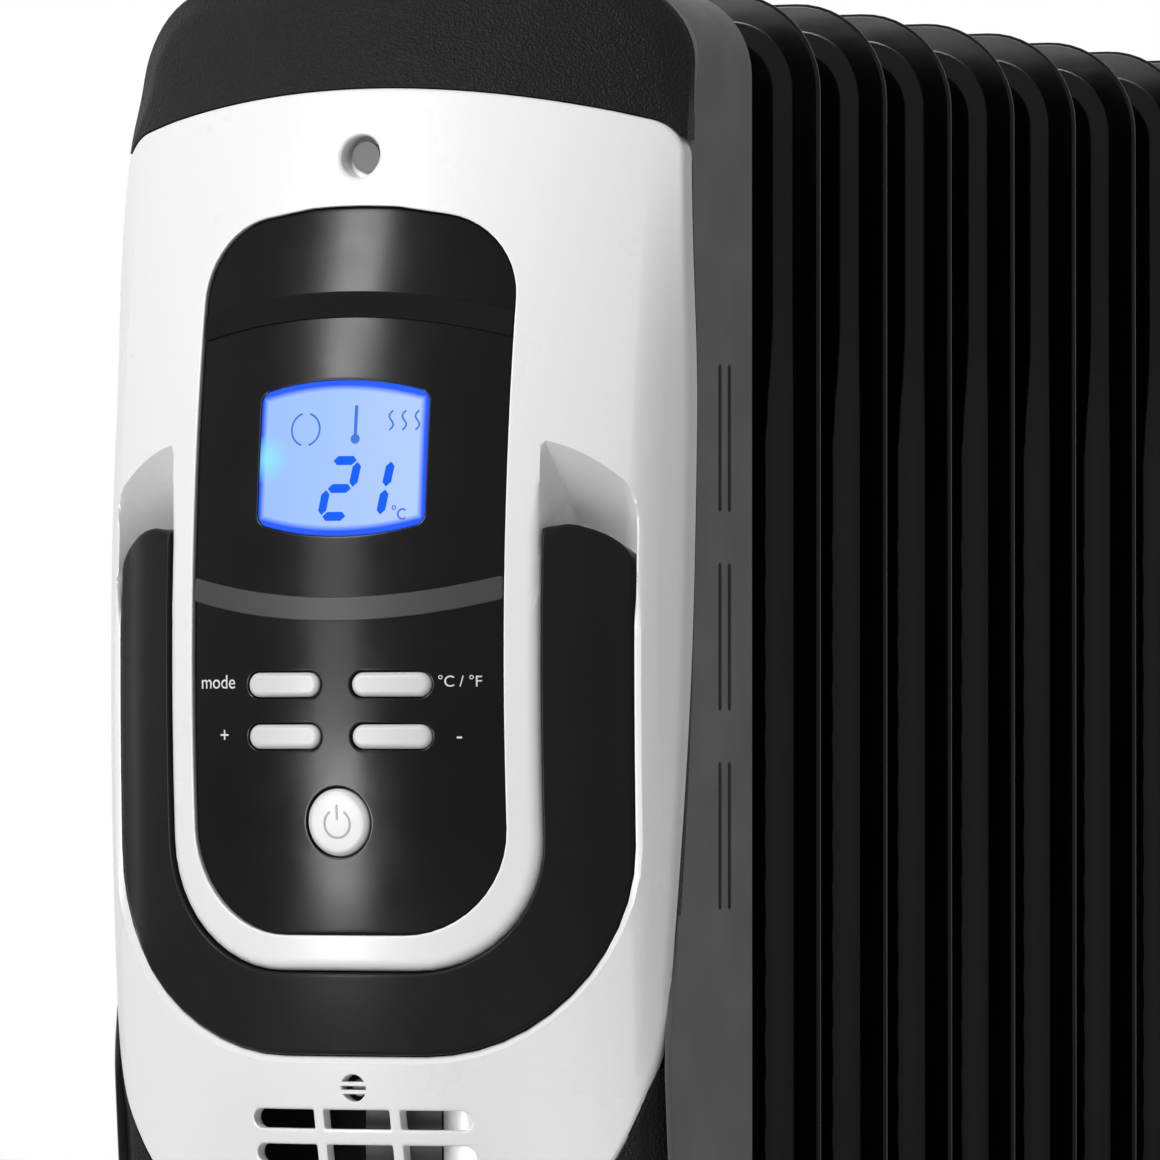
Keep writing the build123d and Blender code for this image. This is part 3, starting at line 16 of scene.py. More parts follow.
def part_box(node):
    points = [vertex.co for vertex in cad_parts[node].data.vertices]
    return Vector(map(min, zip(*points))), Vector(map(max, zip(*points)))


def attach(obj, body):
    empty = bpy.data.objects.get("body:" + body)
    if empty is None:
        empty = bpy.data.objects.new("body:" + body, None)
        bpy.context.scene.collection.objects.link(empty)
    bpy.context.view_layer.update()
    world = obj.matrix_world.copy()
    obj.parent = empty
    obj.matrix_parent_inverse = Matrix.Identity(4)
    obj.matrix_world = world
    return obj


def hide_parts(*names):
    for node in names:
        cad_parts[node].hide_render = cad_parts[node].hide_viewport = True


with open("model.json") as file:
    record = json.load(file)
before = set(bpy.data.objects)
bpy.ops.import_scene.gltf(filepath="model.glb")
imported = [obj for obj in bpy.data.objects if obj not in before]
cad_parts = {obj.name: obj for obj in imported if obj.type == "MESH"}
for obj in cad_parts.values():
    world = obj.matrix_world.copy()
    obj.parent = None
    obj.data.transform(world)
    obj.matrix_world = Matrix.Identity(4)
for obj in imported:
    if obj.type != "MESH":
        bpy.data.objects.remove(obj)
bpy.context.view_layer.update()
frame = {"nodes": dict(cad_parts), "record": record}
nodes = frame["nodes"]
scene = bpy.context.scene
MM = 0.001

# The bowed front: one arc across, which moves back above and below its fullest height
FIN_Y = sum(corner.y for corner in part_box("fin_1")) / 2 / MM
BOW_R = 122.0
BOW_SETBACK = 16.0
BOW_Z = 481.0
ARCH_R = 500.0
BEND_Z = 345.0
WAIST_R = 96.5
BOW_Y = FIN_Y + BOW_SETBACK
BEND_TILT = asin((BOW_Z - BEND_Z) / ARCH_R)
BEND_BOW_R = BOW_R - ARCH_R * (1 - cos(BEND_TILT))
WAIST_BEND_R = (BEND_BOW_R - WAIST_R) / (1 - cos(BEND_TILT))
WAIST_Z = BEND_Z - WAIST_BEND_R * sin(BEND_TILT)
EASE_START = 30.0
EASE_END = 75.0
EASE_SHARE = 0.6
EASE_HIGH_SHARE = 0.1
ROLL_START = 66.5
ROLL_END = 75.0
ROLL_DEPTH = 6.0
ROLL_POWER = 1.6
ROLL_FADE_LOW = 535.0
ROLL_FADE_HIGH = 610.0


def bow_back(z):
    """How far the bowed front lies behind its fullest place at a height."""
    if z >= BEND_Z:
        return ARCH_R - sqrt(ARCH_R**2 - (z - BOW_Z) ** 2)
    if z >= WAIST_Z:
        return BOW_R - WAIST_R - WAIST_BEND_R + sqrt(WAIST_BEND_R**2 - (z - WAIST_Z) ** 2)
    return BOW_R - WAIST_R


def smooth(t):
    """Eases from 0 to 1."""
    t = min(1.0, max(0.0, t))
    return t * t * (3 - 2 * t)


def bow_depth(x, z, inset=0.0):
    """Depth of the bowed front before the first fin, set back by inset; the sides move back less."""
    share = EASE_SHARE if z < BOW_Z else EASE_HIGH_SHARE
    ease = share * smooth((abs(x) - EASE_START) / (EASE_END - EASE_START))
    return sqrt((BOW_R - inset) ** 2 - x**2) - BOW_SETBACK - bow_back(z) * (1 - ease)


# Flat outlines


def arc_points(x, z, radius, start, end, steps):
    """Points on an arc, in degrees anticlockwise from +X."""
    turns = [radians(start + (end - start) * k / steps) for k in range(steps + 1)]
    return [(x + radius * cos(a), z + radius * sin(a)) for a in turns]


def arc_through(first, middle, last, run=2.5):
    """Points from first to last, a run apart, on the circle that also passes the middle point."""
    (ax, az), (bx, bz), (cx, cz) = first, middle, last
    d = 2 * (ax * (bz - cz) + bx * (cz - az) + cx * (az - bz))
    a2, b2, c2 = ax**2 + az**2, bx**2 + bz**2, cx**2 + cz**2
    x = (a2 * (bz - cz) + b2 * (cz - az) + c2 * (az - bz)) / d
    z = (a2 * (cx - bx) + b2 * (ax - cx) + c2 * (bx - ax)) / d
    start = degrees(atan2(az - z, ax - x))
    through = (degrees(atan2(bz - z, bx - x)) - start) % 360
    sweep = (degrees(atan2(cz - z, cx - x)) - start) % 360
    if through > sweep:
        sweep -= 360
    radius = sqrt((ax - x) ** 2 + (az - z) ** 2)
    steps = max(8, round(radius * radians(abs(sweep)) / run))
    return arc_points(x, z, radius, start, start + sweep, steps)


def rounded_loop(corners, run=3.0):
    """A closed loop past corners (x, z, radius), with its straight runs cut into short steps."""
    bends = []
    for index, (x, z, radius) in enumerate(corners):
        here = Vector((x, z))
        back = (Vector(corners[index - 1][:2]) - here).normalized()
        ahead = (Vector(corners[(index + 1) % len(corners)][:2]) - here).normalized()
        if radius <= 0:
            bends.append((x, z))
            continue
        half = back.angle(ahead) / 2
        centre = here + (back + ahead).normalized() * (radius / sin(half))
        arm = here + back * (radius / tan(half)) - centre
        start = degrees(atan2(arm.y, arm.x))
        turn = 180 - 2 * degrees(half)
        if ahead.cross(back) < 0:
            turn = -turn
        bends += arc_points(centre.x, centre.y, radius, start, start + turn, max(2, round(abs(turn) / 7.5)))
    loop = []
    for index, (x, z) in enumerate(bends):
        to_x, to_z = bends[(index + 1) % len(bends)]
        steps = max(1, round(sqrt((to_x - x) ** 2 + (to_z - z) ** 2) / run))
        loop += [(x + (to_x - x) * k / steps, z + (to_z - z) * k / steps) for k in range(steps)]
    return loop


CORNER_ROOM = 1.4


def arc_loop(stretches, run=3.0):
    """A closed loop of arcs and lines (first, middle or None, last, corner radius at first).

    An arc's points give way to the rounded corners at its ends.
    """
    corners = []
    for index, (first, middle, last, radius) in enumerate(stretches):
        next_radius = stretches[(index + 1) % len(stretches)][3]
        corners.append((*first, radius))
        between = arc_through(first, middle, last)[1:-1] if middle else []
        for x, z in between:
            clear_of_first = sqrt((x - first[0]) ** 2 + (z - first[1]) ** 2) > CORNER_ROOM * radius
            clear_of_last = sqrt((x - last[0]) ** 2 + (z - last[1]) ** 2) > CORNER_ROOM * next_radius
            if clear_of_first and clear_of_last:
                corners.append((x, z, 0))
    return rounded_loop(corners, run)


def circle_loop(x, z, radius, steps=48):
    return arc_points(x, z, radius, 0, 360, steps)[:-1]


def box_loop(x_low, x_high, z_low, z_high, radius, run=3.0):
    corners = [(x_low, z_low), (x_high, z_low), (x_high, z_high), (x_low, z_high)]
    return rounded_loop([(x, z, radius) for x, z in corners], run)


def hole(loop):
    """A loop turned to run clockwise, as the edge of a hole does."""
    return loop[::-1]


# Flat solids


def inward(loop):
    """Normals that point into the material, lengthened at corners."""
    points = np.array(loop)
    ahead = np.roll(points, -1, 0) - points
    ahead /= np.linalg.norm(ahead, axis=1)[:, None]
    both = ahead + np.roll(ahead, 1, 0)
    both /= np.linalg.norm(both, axis=1)[:, None]
    stretch = np.maximum(0.5, (both * ahead).sum(1))
    return np.stack([-both[:, 1], both[:, 0]], 1) / stretch[:, None]


def inside(points, loops):
    """Which points lie inside the first loop and outside the others."""
    hit = np.zeros(len(points), bool)
    x, z = points[:, :1], points[:, 1:]
    for loop in loops:
        a = np.array(loop)
        b = np.roll(a, -1, 0)
        rise = np.where(a[:, 1] == b[:, 1], 1.0, b[:, 1] - a[:, 1])
        spans = (a[:, 1] > z) != (b[:, 1] > z)
        left = x < (b[:, 0] - a[:, 0]) * (z - a[:, 1]) / rise + a[:, 0]
        hit ^= ((spans & left).sum(1) % 2).astype(bool)
    return hit


SLIVER = 1e-4
BORDER_ROOM = 0.3


def fill(loops, columns, rows, creases):
    """Points that fill loops on a lattice, and the triangles between them.

    The loops' own points come first, and lattice points keep off them and off the creases.
    """
    edge_points = [p for loop in loops for p in loop]
    edges = []
    start = 0
    for loop in loops:
        edges += [(start + k, start + (k + 1) % len(loop)) for k in range(len(loop))]
        start += len(loop)
    for crease in creases:
        edges += [(len(edge_points) + k, len(edge_points) + k + 1) for k in range(len(crease) - 1)]
        edge_points += crease
    lattice = np.array([(x, z) for x in columns for z in rows])
    lattice = lattice[inside(lattice, loops)]
    border = np.array(edge_points)
    room = BORDER_ROOM * min(np.diff(sorted(columns)).min(), np.diff(sorted(rows)).min())
    gaps = np.array([np.hypot(*(border - p).T).min() for p in lattice])
    points = edge_points + [tuple(p) for p in lattice[gaps > room]]
    coords, _, faces, origins, _, _ = delaunay_2d_cdt([Vector(p) for p in points], edges, [], 0, 1e-7)
    flat = np.array([tuple(c) for c in coords])
    corners = flat[np.array(faces)]
    sides = corners[:, 1:] - corners[:, :1]
    areas = np.abs(sides[:, 0, 0] * sides[:, 1, 1] - sides[:, 0, 1] * sides[:, 1, 0]) / 2
    kept = inside(corners.mean(1), loops) & (areas > SLIVER)
    order = {old: new for new, olds in enumerate(origins) for old in olds}
    place = {new: old for old, new in order.items() if old < start}
    return flat, [face for face, keep in zip(faces, kept) if keep], place


def spread(low, high, step):
    """Evenly spaced values."""
    return np.linspace(low, high, max(2, round((high - low) / step) + 1))


def edge_path(front, depth, front_r, back_r=0.0, steps=4, guard=0.6):
    """Offsets and insets of a wall's section, from its back to its front, with rounded edges."""
    quarter = [pi / 2 * k / steps for k in range(steps + 1)]
    path = [(0.0, depth)]
    if back_r:
        path = [(back_r + guard, depth)]
        path += [(back_r * (1 - sin(a)), depth - back_r * (1 - cos(a))) for a in quarter]
    path += [(front_r * (1 - cos(a)), front + front_r * (1 - sin(a))) for a in quarter]
    return path + [(front_r + guard, front)]


def flat_solid(loops, paths, columns, rows, creases=(), sink=None):
    """Points (x, inset, z) and faces of a solid whose walls follow the loops.

    Each loop has its own wall section, as offsets into the material and insets behind the face.
    """
    points = []
    faces = []
    caps = ([], [])
    for loop, path in zip(loops, paths):
        base = np.array(loop)
        normal = inward(loop)
        count = len(loop)
        starts = []
        for offset, inset in path:
            starts.append(len(points))
            ring = base + normal * np.broadcast_to(offset, count)[:, None]
            points += [(x, y, z) for (x, z), y in zip(ring, np.broadcast_to(inset, count))]
        for low, high in zip(starts, starts[1:]):
            for k in range(count):
                ahead = (k + 1) % count
                faces.append((low + k, low + ahead, high + ahead, high + k))
        caps[0].append((starts[0], count))
        caps[1].append((starts[-1], count))
    for cap, lines in zip(caps, ((), creases)):
        rings = [[(points[start + k][0], points[start + k][2]) for k in range(count)] for start, count in cap]
        level = points[cap[0][0]][1]
        owners = [start + k for start, count in cap for k in range(count)]
        flat, triangles, place = fill(rings, columns, rows, list(lines))
        index = {}
        for new in sorted({v for face in triangles for v in face}):
            if new in place:
                index[new] = owners[place[new]]
            else:
                index[new] = len(points)
                points.append((flat[new][0], level, flat[new][1]))
        turned = cap is caps[0]
        for face in triangles:
            corners = [index[v] for v in face]
            faces.append(tuple(corners[::-1] if turned else corners))
    if sink:
        points = [(x, inset + sink(x, z), z) for x, inset, z in points]
    return points, faces


def as_mesh(name, *solids):
    """One mesh in metres from one or more solids."""
    points = []
    faces = []
    for solid_points, solid_faces in solids:
        start = len(points)
        points += [(x * MM, y * MM, z * MM) for x, y, z in solid_points]
        faces += [tuple(start + v for v in face) for face in solid_faces]
    mesh = bpy.data.meshes.new(name)
    mesh.from_pydata(points, [], faces)
    return mesh


def held(data):
    """An object in the scene that holds a mesh or text while it is worked on."""
    holder = bpy.data.objects.new("holder", data)
    scene.collection.objects.link(holder)
    return holder


def made_plain(holder):
    """The plain mesh that a held object comes to; the object is then removed."""
    depsgraph = bpy.context.evaluated_depsgraph_get()
    result = bpy.data.meshes.new_from_object(holder.evaluated_get(depsgraph))
    bpy.data.objects.remove(holder)
    return result


def tidied(mesh, sharp=38):
    """The mesh with its faces turned outwards and shaded smooth, apart from its hard edges."""
    work = bmesh.new()
    work.from_mesh(mesh)
    bmesh.ops.recalc_face_normals(work, faces=work.faces)
    work.to_mesh(mesh)
    work.free()
    mesh.shade_smooth()
    mesh.set_sharp_from_angle(angle=radians(sharp))
    holder = held(mesh)
    holder.modifiers.new("weighted", "WEIGHTED_NORMAL").keep_sharp = True
    return made_plain(holder)


# Geometry node trees


def math_node(tree, operation, *values):
    """One sum in a node tree; a value is a number or another node's output."""
    node = tree.nodes.new("ShaderNodeMath")
    node.operation = operation
    for socket, value in zip(node.inputs, values):
        if isinstance(value, (int, float)):
            socket.default_value = value
        else:
            tree.links.new(value, socket)
    return node.outputs[0]


def new_tree(name, **inputs):
    """An empty geometry tree with named inputs; returns it with its input and output nodes."""
    tree = bpy.data.node_groups.new(name, "GeometryNodeTree")
    tree.interface.new_socket("Geometry", in_out="INPUT", socket_type="NodeSocketGeometry")
    kinds = {int: "NodeSocketInt", float: "NodeSocketFloat"}
    for label, value in inputs.items():
        socket = tree.interface.new_socket(label, in_out="INPUT", socket_type=kinds[type(value)])
        socket.default_value = value
    tree.interface.new_socket("Finish", in_out="INPUT", socket_type="NodeSocketMaterial")
    tree.interface.new_socket("Geometry", in_out="OUTPUT", socket_type="NodeSocketGeometry")
    return tree, tree.nodes.new("NodeGroupInput"), tree.nodes.new("NodeGroupOutput")


def close_tree(tree, given, result, shape):
    """Realize what the tree made, give it its finish and hand it on."""
    realize = tree.nodes.new("GeometryNodeRealizeInstances")
    paint = tree.nodes.new("GeometryNodeSetMaterial")
    tree.links.new(shape, realize.inputs["Geometry"])
    tree.links.new(realize.outputs["Geometry"], paint.inputs["Geometry"])
    tree.links.new(given.outputs["Finish"], paint.inputs["Material"])
    tree.links.new(paint.outputs["Geometry"], result.inputs["Geometry"])


def grown(mesh, tree, finish, **values):
    """The plain mesh that a tree makes of a mesh."""
    holder = held(mesh)
    modifier = holder.modifiers.new("tree", "NODES")
    modifier.node_group = tree
    values["Finish"] = finish
    for item in tree.interface.items_tree:
        if item.item_type == "SOCKET" and item.in_out == "INPUT" and item.name in values:
            modifier[item.identifier] = values[item.name]
    return made_plain(holder)


def bowed_front_tree():
    """Lays a flat piece, drawn as x, inset and height, on the bowed front."""
    tree, given, result = new_tree(
        "bowed_front",
        bow_radius=BOW_R * MM,
        arch_radius=ARCH_R * MM,
        fullest_height=BOW_Z * MM,
        bend_height=BEND_Z * MM,
        bend_bow_radius=BEND_BOW_R * MM,
        waist_radius=WAIST_R * MM,
        waist_bend_radius=WAIST_BEND_R * MM,
        waist_height=WAIST_Z * MM,
        axis_y=BOW_Y * MM,
        ease_start=EASE_START * MM,
        ease_end=EASE_END * MM,
        ease_share=EASE_SHARE,
        ease_high_share=EASE_HIGH_SHARE,
        roll_start=ROLL_START * MM,
        roll_end=ROLL_END * MM,
        roll_depth=ROLL_DEPTH * MM,
        roll_fade_low=ROLL_FADE_LOW * MM,
        roll_fade_high=ROLL_FADE_HIGH * MM,
    )
    size = given.outputs

    def sums(operation, *values):
        return math_node(tree, operation, *values)

    def eases(value, start, end):
        node = tree.nodes.new("ShaderNodeMapRange")
        node.interpolation_type = "SMOOTHSTEP"
        for name, source in (("Value", value), ("From Min", start), ("From Max", end)):
            tree.links.new(source, node.inputs[name])
        return node.outputs["Result"]

    def leg(radius, rise):
        return sums("SQRT", sums("SUBTRACT", sums("MULTIPLY", radius, radius), sums("MULTIPLY", rise, rise)))

    place = tree.nodes.new("GeometryNodeInputPosition")
    split = tree.nodes.new("ShaderNodeSeparateXYZ")
    tree.links.new(place.outputs[0], split.inputs[0])
    x, inset, z = split.outputs
    arch_z = sums("MAXIMUM", z, size["bend_height"])
    arch_rise = sums("SUBTRACT", arch_z, size["fullest_height"])
    arch_drop = sums("SUBTRACT", size["arch_radius"], leg(size["arch_radius"], arch_rise))
    waist_z = sums("MINIMUM", sums("MAXIMUM", z, size["waist_height"]), size["bend_height"])
    waist_rise = sums("SUBTRACT", waist_z, size["waist_height"])
    waist_swell = sums("SUBTRACT", size["waist_bend_radius"], leg(size["waist_bend_radius"], waist_rise))
    bend_fall = sums("SUBTRACT", size["bend_bow_radius"], sums("ADD", size["waist_radius"], waist_swell))
    depth = leg(sums("SUBTRACT", size["bow_radius"], inset), x)
    side = sums("ABSOLUTE", x)
    more = sums("SUBTRACT", size["ease_share"], size["ease_high_share"])
    more = sums("MULTIPLY", more, sums("LESS_THAN", z, size["fullest_height"]))
    ease_share = sums("ADD", more, size["ease_high_share"])
    eased = sums("MULTIPLY", eases(side, size["ease_start"], size["ease_end"]), ease_share)
    fall = sums("MULTIPLY", sums("ADD", arch_drop, bend_fall), sums("SUBTRACT", 1.0, eased))
    past = sums("MAXIMUM", sums("SUBTRACT", side, size["roll_start"]), 0.0)
    share = sums("DIVIDE", past, sums("SUBTRACT", size["roll_end"], size["roll_start"]))
    roll = sums("MULTIPLY", sums("POWER", share, ROLL_POWER), size["roll_depth"])
    roll = sums("MULTIPLY", roll, eases(z, size["roll_fade_high"], size["roll_fade_low"]))
    fall = sums("ADD", fall, roll)
    y = sums("ADD", sums("SUBTRACT", size["axis_y"], depth), fall)
    join = tree.nodes.new("ShaderNodeCombineXYZ")
    for socket, value in zip(join.inputs, (x, y, z)):
        tree.links.new(value, socket)
    lay = tree.nodes.new("GeometryNodeSetPosition")
    tree.links.new(size["Geometry"], lay.inputs["Geometry"])
    tree.links.new(join.outputs[0], lay.inputs["Position"])
    close_tree(tree, given, result, lay.outputs["Geometry"])
    return tree


def row_tree():
    """Repeats a piece in an even row along Y."""
    tree, given, result = new_tree("row_along_y", count=2, pitch=0.04)
    step = tree.nodes.new("ShaderNodeCombineXYZ")
    tree.links.new(given.outputs["pitch"], step.inputs["Y"])
    line = tree.nodes.new("GeometryNodeMeshLine")
    tree.links.new(given.outputs["count"], line.inputs["Count"])
    tree.links.new(step.outputs[0], line.inputs["Offset"])
    copies = tree.nodes.new("GeometryNodeInstanceOnPoints")
    tree.links.new(line.outputs["Mesh"], copies.inputs["Points"])
    tree.links.new(given.outputs["Geometry"], copies.inputs["Instance"])
    close_tree(tree, given, result, copies.outputs["Instances"])
    return tree


bowed_front = bowed_front_tree()
row_along_y = row_tree()

# Finishes


class Finish:
    """A procedural material on Object coordinates."""

    def __init__(self, name, colour, roughness, specular=0.5, metallic=0.0):
        self.material = bpy.data.materials.new(name)
        self.material.use_nodes = True
        self.tree = self.material.node_tree
        self.shader = self.tree.nodes["Principled BSDF"]
        self.shader.inputs["Base Color"].default_value = (*colour, 1)
        self.shader.inputs["Roughness"].default_value = roughness
        self.shader.inputs["Specular IOR Level"].default_value = specular
        self.shader.inputs["Metallic"].default_value = metallic
        self.place = self.tree.nodes.new("ShaderNodeTexCoord").outputs["Object"]
        self.colour = colour

    def noise(self, scale, detail=3.0, stretch=None):
        node = self.tree.nodes.new("ShaderNodeTexNoise")
        node.inputs["Scale"].default_value = scale
        node.inputs["Detail"].default_value = detail
        source = self.place
        if stretch:
            mapping = self.tree.nodes.new("ShaderNodeMapping")
            mapping.inputs["Scale"].default_value = stretch
            self.tree.links.new(source, mapping.inputs["Vector"])
            source = mapping.outputs["Vector"]
        self.tree.links.new(source, node.inputs["Vector"])
        return node.outputs["Fac"]

    def cells(self, scale):
        node = self.tree.nodes.new("ShaderNodeTexVoronoi")
        node.feature = "SMOOTH_F1"
        node.inputs["Scale"].default_value = scale
        node.inputs["Smoothness"].default_value = 0.4
        self.tree.links.new(self.place, node.inputs["Vector"])
        return node.outputs["Distance"]

    def ranged(self, value, low, high, from_low=0.3, from_high=0.7):
        node = self.tree.nodes.new("ShaderNodeMapRange")
        self.tree.links.new(value, node.inputs["Value"])
        limits = {"From Min": from_low, "From Max": from_high, "To Min": low, "To Max": high}
        for name, number in limits.items():
            node.inputs[name].default_value = number
        return node.outputs["Result"]

    def mottle(self, value, low, high):
        """Roughness that wanders between two values."""
        self.tree.links.new(self.ranged(value, low, high), self.shader.inputs["Roughness"])

    def tint(self, value, darker, lighter):
        """Colour that wanders between two strengths of the base colour."""
        mix = self.tree.nodes.new("ShaderNodeMix")
        mix.data_type = "RGBA"
        colours = [socket for socket in mix.inputs if socket.type == "RGBA"]
        colours[0].default_value = (*[c * darker for c in self.colour], 1)
        colours[1].default_value = (*[c * lighter for c in self.colour], 1)
        self.tree.links.new(self.ranged(value, 0, 1), mix.inputs["Factor"])
        result = [socket for socket in mix.outputs if socket.type == "RGBA"][0]
        self.tree.links.new(result, self.shader.inputs["Base Color"])

    def relief(self, value, height, strength=1.0):
        """Fine relief, with its height in metres."""
        bump = self.tree.nodes.new("ShaderNodeBump")
        bump.inputs["Strength"].default_value = strength
        bump.inputs["Distance"].default_value = height
        self.tree.links.new(value, bump.inputs["Height"])
        self.tree.links.new(bump.outputs["Normal"], self.shader.inputs["Normal"])


def white_gloss():
    finish = Finish("white_gloss", (0.83, 0.83, 0.83), 0.3, 0.4)
    finish.mottle(finish.noise(40), 0.26, 0.34)
    finish.relief(finish.noise(500, 2), 0.000003)
    return finish.material


def grained_plastic(name, colour, scale, height, rough_low, rough_high, specular):
    finish = Finish(name, colour, rough_high, specular)
    grain = math_node(finish.tree, "ADD", finish.cells(scale), finish.noise(scale * 1.7, 2))
    finish.mottle(finish.noise(60), rough_low, rough_high)
    finish.tint(finish.noise(25), 0.92, 1.08)
    finish.relief(grain, height)
    return finish.material


def satin_plastic(name, colour, rough_low, rough_high, specular, peel=0.000006):
    finish = Finish(name, colour, rough_high, specular)
    finish.mottle(finish.noise(55), rough_low, rough_high)
    finish.tint(finish.noise(20), 0.94, 1.06)
    finish.relief(finish.noise(900, 2), peel)
    return finish.material


def black_enamel():
    finish = Finish("black_enamel", (0.0018, 0.0018, 0.0019), 0.2, 0.14)
    finish.mottle(finish.noise(45), 0.16, 0.26)
    finish.relief(finish.noise(260, 2), 0.000012)
    return finish.material


def zinc_steel():
    finish = Finish("zinc_steel", (0.5, 0.5, 0.51), 0.35, metallic=1.0)
    finish.mottle(finish.noise(300, 2, (1, 1, 0.08)), 0.28, 0.45)
    finish.tint(finish.noise(90), 0.88, 1.08)
    finish.relief(finish.noise(1500, 2, (1, 1, 0.1)), 0.000008)
    return finish.material


def band_plastic_with_painted_shade():
    """Satin grey, with painted shade on the upper band: it is coloured darker and reflects less, standing in
    for the shade on its downward-facing slope.
    """
    finish = Finish("band_grey", (0.058, 0.058, 0.059), 0.35, 0.12)
    split = finish.tree.nodes.new("ShaderNodeSeparateXYZ")
    finish.tree.links.new(finish.place, split.inputs[0])
    # Painted shade: above 0.55 m the colour falls to a quarter and the shine to nothing, for the upper band's
    # shaded slope
    height = finish.ranged(split.outputs["Z"], 0.7, 0.3, 0.50, 0.55)
    finish.tint(height, 0.25, 1.0)
    finish.mottle(finish.noise(55), 0.3, 0.4)
    shine_dimmed_for_painted_shade = finish.ranged(split.outputs["Z"], 0.12, 0.0, 0.50, 0.55)
    finish.tree.links.new(shine_dimmed_for_painted_shade, finish.shader.inputs["Specular IOR Level"])
    return finish.material


def circuit_board():
    finish = Finish("circuit_board", (0.02, 0.12, 0.05), 0.4)
    finish.tint(finish.noise(400), 0.7, 1.3)
    finish.mottle(finish.noise(200), 0.3, 0.45)
    return finish.material


finishes = {
    "fin_enamel": black_enamel(),
    "bare_steel": zinc_steel(),
    "gasket_rubber": grained_plastic("gasket_rubber", (0.03, 0.03, 0.03), 900, 0.00005, 0.6, 0.75, 0.3),
    "hood_black": grained_plastic("hood_black", (0.0115, 0.0115, 0.0118), 1500, 0.00028, 0.3, 0.4, 0.07),
    "side_grey": grained_plastic("side_grey", (0.145, 0.145, 0.146), 1900, 0.00005, 0.5, 0.62, 0.2),
    "cover_white": white_gloss(),
    "panel_black": satin_plastic("panel_black", (0.004, 0.004, 0.0042), 0.17, 0.25, 0.1),
    "band_grey": band_plastic_with_painted_shade(),
    "display_blue": satin_plastic("display_blue", (0.3, 0.45, 0.9), 0.15, 0.2, 0.4),
    "button_grey": satin_plastic("button_grey", (0.63, 0.63, 0.63), 0.32, 0.42, 0.4),
    "handle_black": satin_plastic("handle_black", (0.0105, 0.0105, 0.0108), 0.24, 0.32, 0.07),
    "board_green": circuit_board(),
    "component_dark": satin_plastic("component_dark", (0.03, 0.03, 0.033), 0.4, 0.55, 0.4),
    "foot_black": satin_plastic("foot_black", (0.006, 0.006, 0.0063), 0.25, 0.38, 0.4, 0.00002),
    "castor_black": grained_plastic("castor_black", (0.014, 0.014, 0.0145), 1400, 0.00004, 0.42, 0.55, 0.35),
    "wheel_grey": grained_plastic("wheel_grey", (0.035, 0.035, 0.036), 1200, 0.00005, 0.5, 0.65, 0.35),
}

for subpart in frame["record"]["subparts"]:
    solid = nodes[subpart["node"]].data
    solid.materials.clear()
    solid.materials.append(finishes[subpart["material_slot"]])
# Painted shade: the cover screw's head is coloured dark grey so that the shallow screw recess reads as shaded
nodes["cover_screw"].data.materials[0] = satin_plastic("screw_recess_painted_shade", (0.16, 0.16, 0.16), 0.5, 0.6, 0.2)


def piece(name, mesh, slot, body="root", replaced=(), finish=None):
    """A finished piece of the heater, on its body, in place of the solids that it stands for."""
    mesh.name = name
    mesh.materials.clear()
    mesh.materials.append(finish or finishes[slot])
    thing = bpy.data.objects.new(name, mesh)
    scene.collection.objects.link(thing)
    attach(thing, body)
    if replaced:
        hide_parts(*replaced)
    return thing


def bowed_piece(name, slot, *solids, body="root", replaced=(), finish=None, sharp=38):
    """A piece drawn flat and laid on the bowed front."""
    paint = finish or finishes[slot]
    mesh = tidied(grown(as_mesh(name, *solids), bowed_front, paint), sharp)
    return piece(name, mesh, slot, body, replaced, finish)


# Front cover

COVER_TOP = 613.7
COVER_SHOULDER = (73.0, 604.0)
COVER_SIDE = (75.5, 480.0)
COVER_LOW = (72.3, 400.0)
COVER_BOTTOM = 328.0
COVER_CORNER = 9.5
COVER_DEPTH = 3.5
COVER_LOW_DEPTH = 1.7
COVER_THIN_Z = 400.0
COVER_THIN_RUN = 100.0
SCREW_Z = 597.5
SCREW_RECESS_R = 5.0
SCREW_RECESS_DEPTH = 6.0
SENSOR_Z = 378.3
SENSOR_R = 3.25
SENSOR_BAR = 1.0
SENSOR_BAR_STEP = 1.9
VENT_TOP_Z = 370.8
VENT_STEP = 8.3
VENT_ROWS = 4
VENT_HEIGHT = 4.6
VENT_LENGTH = 57.0
VENT_WEB = 2.7
PANEL_HALF = 40.5
PANEL_TOP = 585.5
PANEL_BOTTOM = 414.4
PANEL_CROWN = 5.0
PANEL_TOP_CORNER = 20.0
PANEL_LOW_CORNER = 25.0
PANEL_INSET = 1.0
HANDLE_HALF = 67.2
HANDLE_INNER_HALF = 48.6
HANDLE_BOTTOM = 386.0
HANDLE_INNER_BOTTOM = 405.5
HANDLE_CORNER = 49.0
HANDLE_INNER_CORNER = 31.0
HANDLE_THICK = 11.0
HANDLE_DROP = 1.2
HANDLE_DROP_START = 57.5
HANDLE_DROP_RUN = 7.0
SLOT_GAP = 0.3
PIVOT_Z = 500.0
PIVOT_DEPTH = 88.0
KNUCKLE_R = 11.0
HANDLE_TOP = PIVOT_Z + KNUCKLE_R - 0.1
ARM_END_START = 49.9
SLOT_TOP = 503.0
SLOT_TOP_CORNER = 9.0
GATE_LOW = 487.0
GATE_HIGH = 495.0
SCOOP_TOP = 530.0
SCOOP_ANGLE = 40.0
SCOOP_BULGE = 1.4
INNER_FILLET = 5.0
INNER_SLOPE = 8.0
OUTER_FILLET = 7.0
OUTER_SLOPE = 2.6
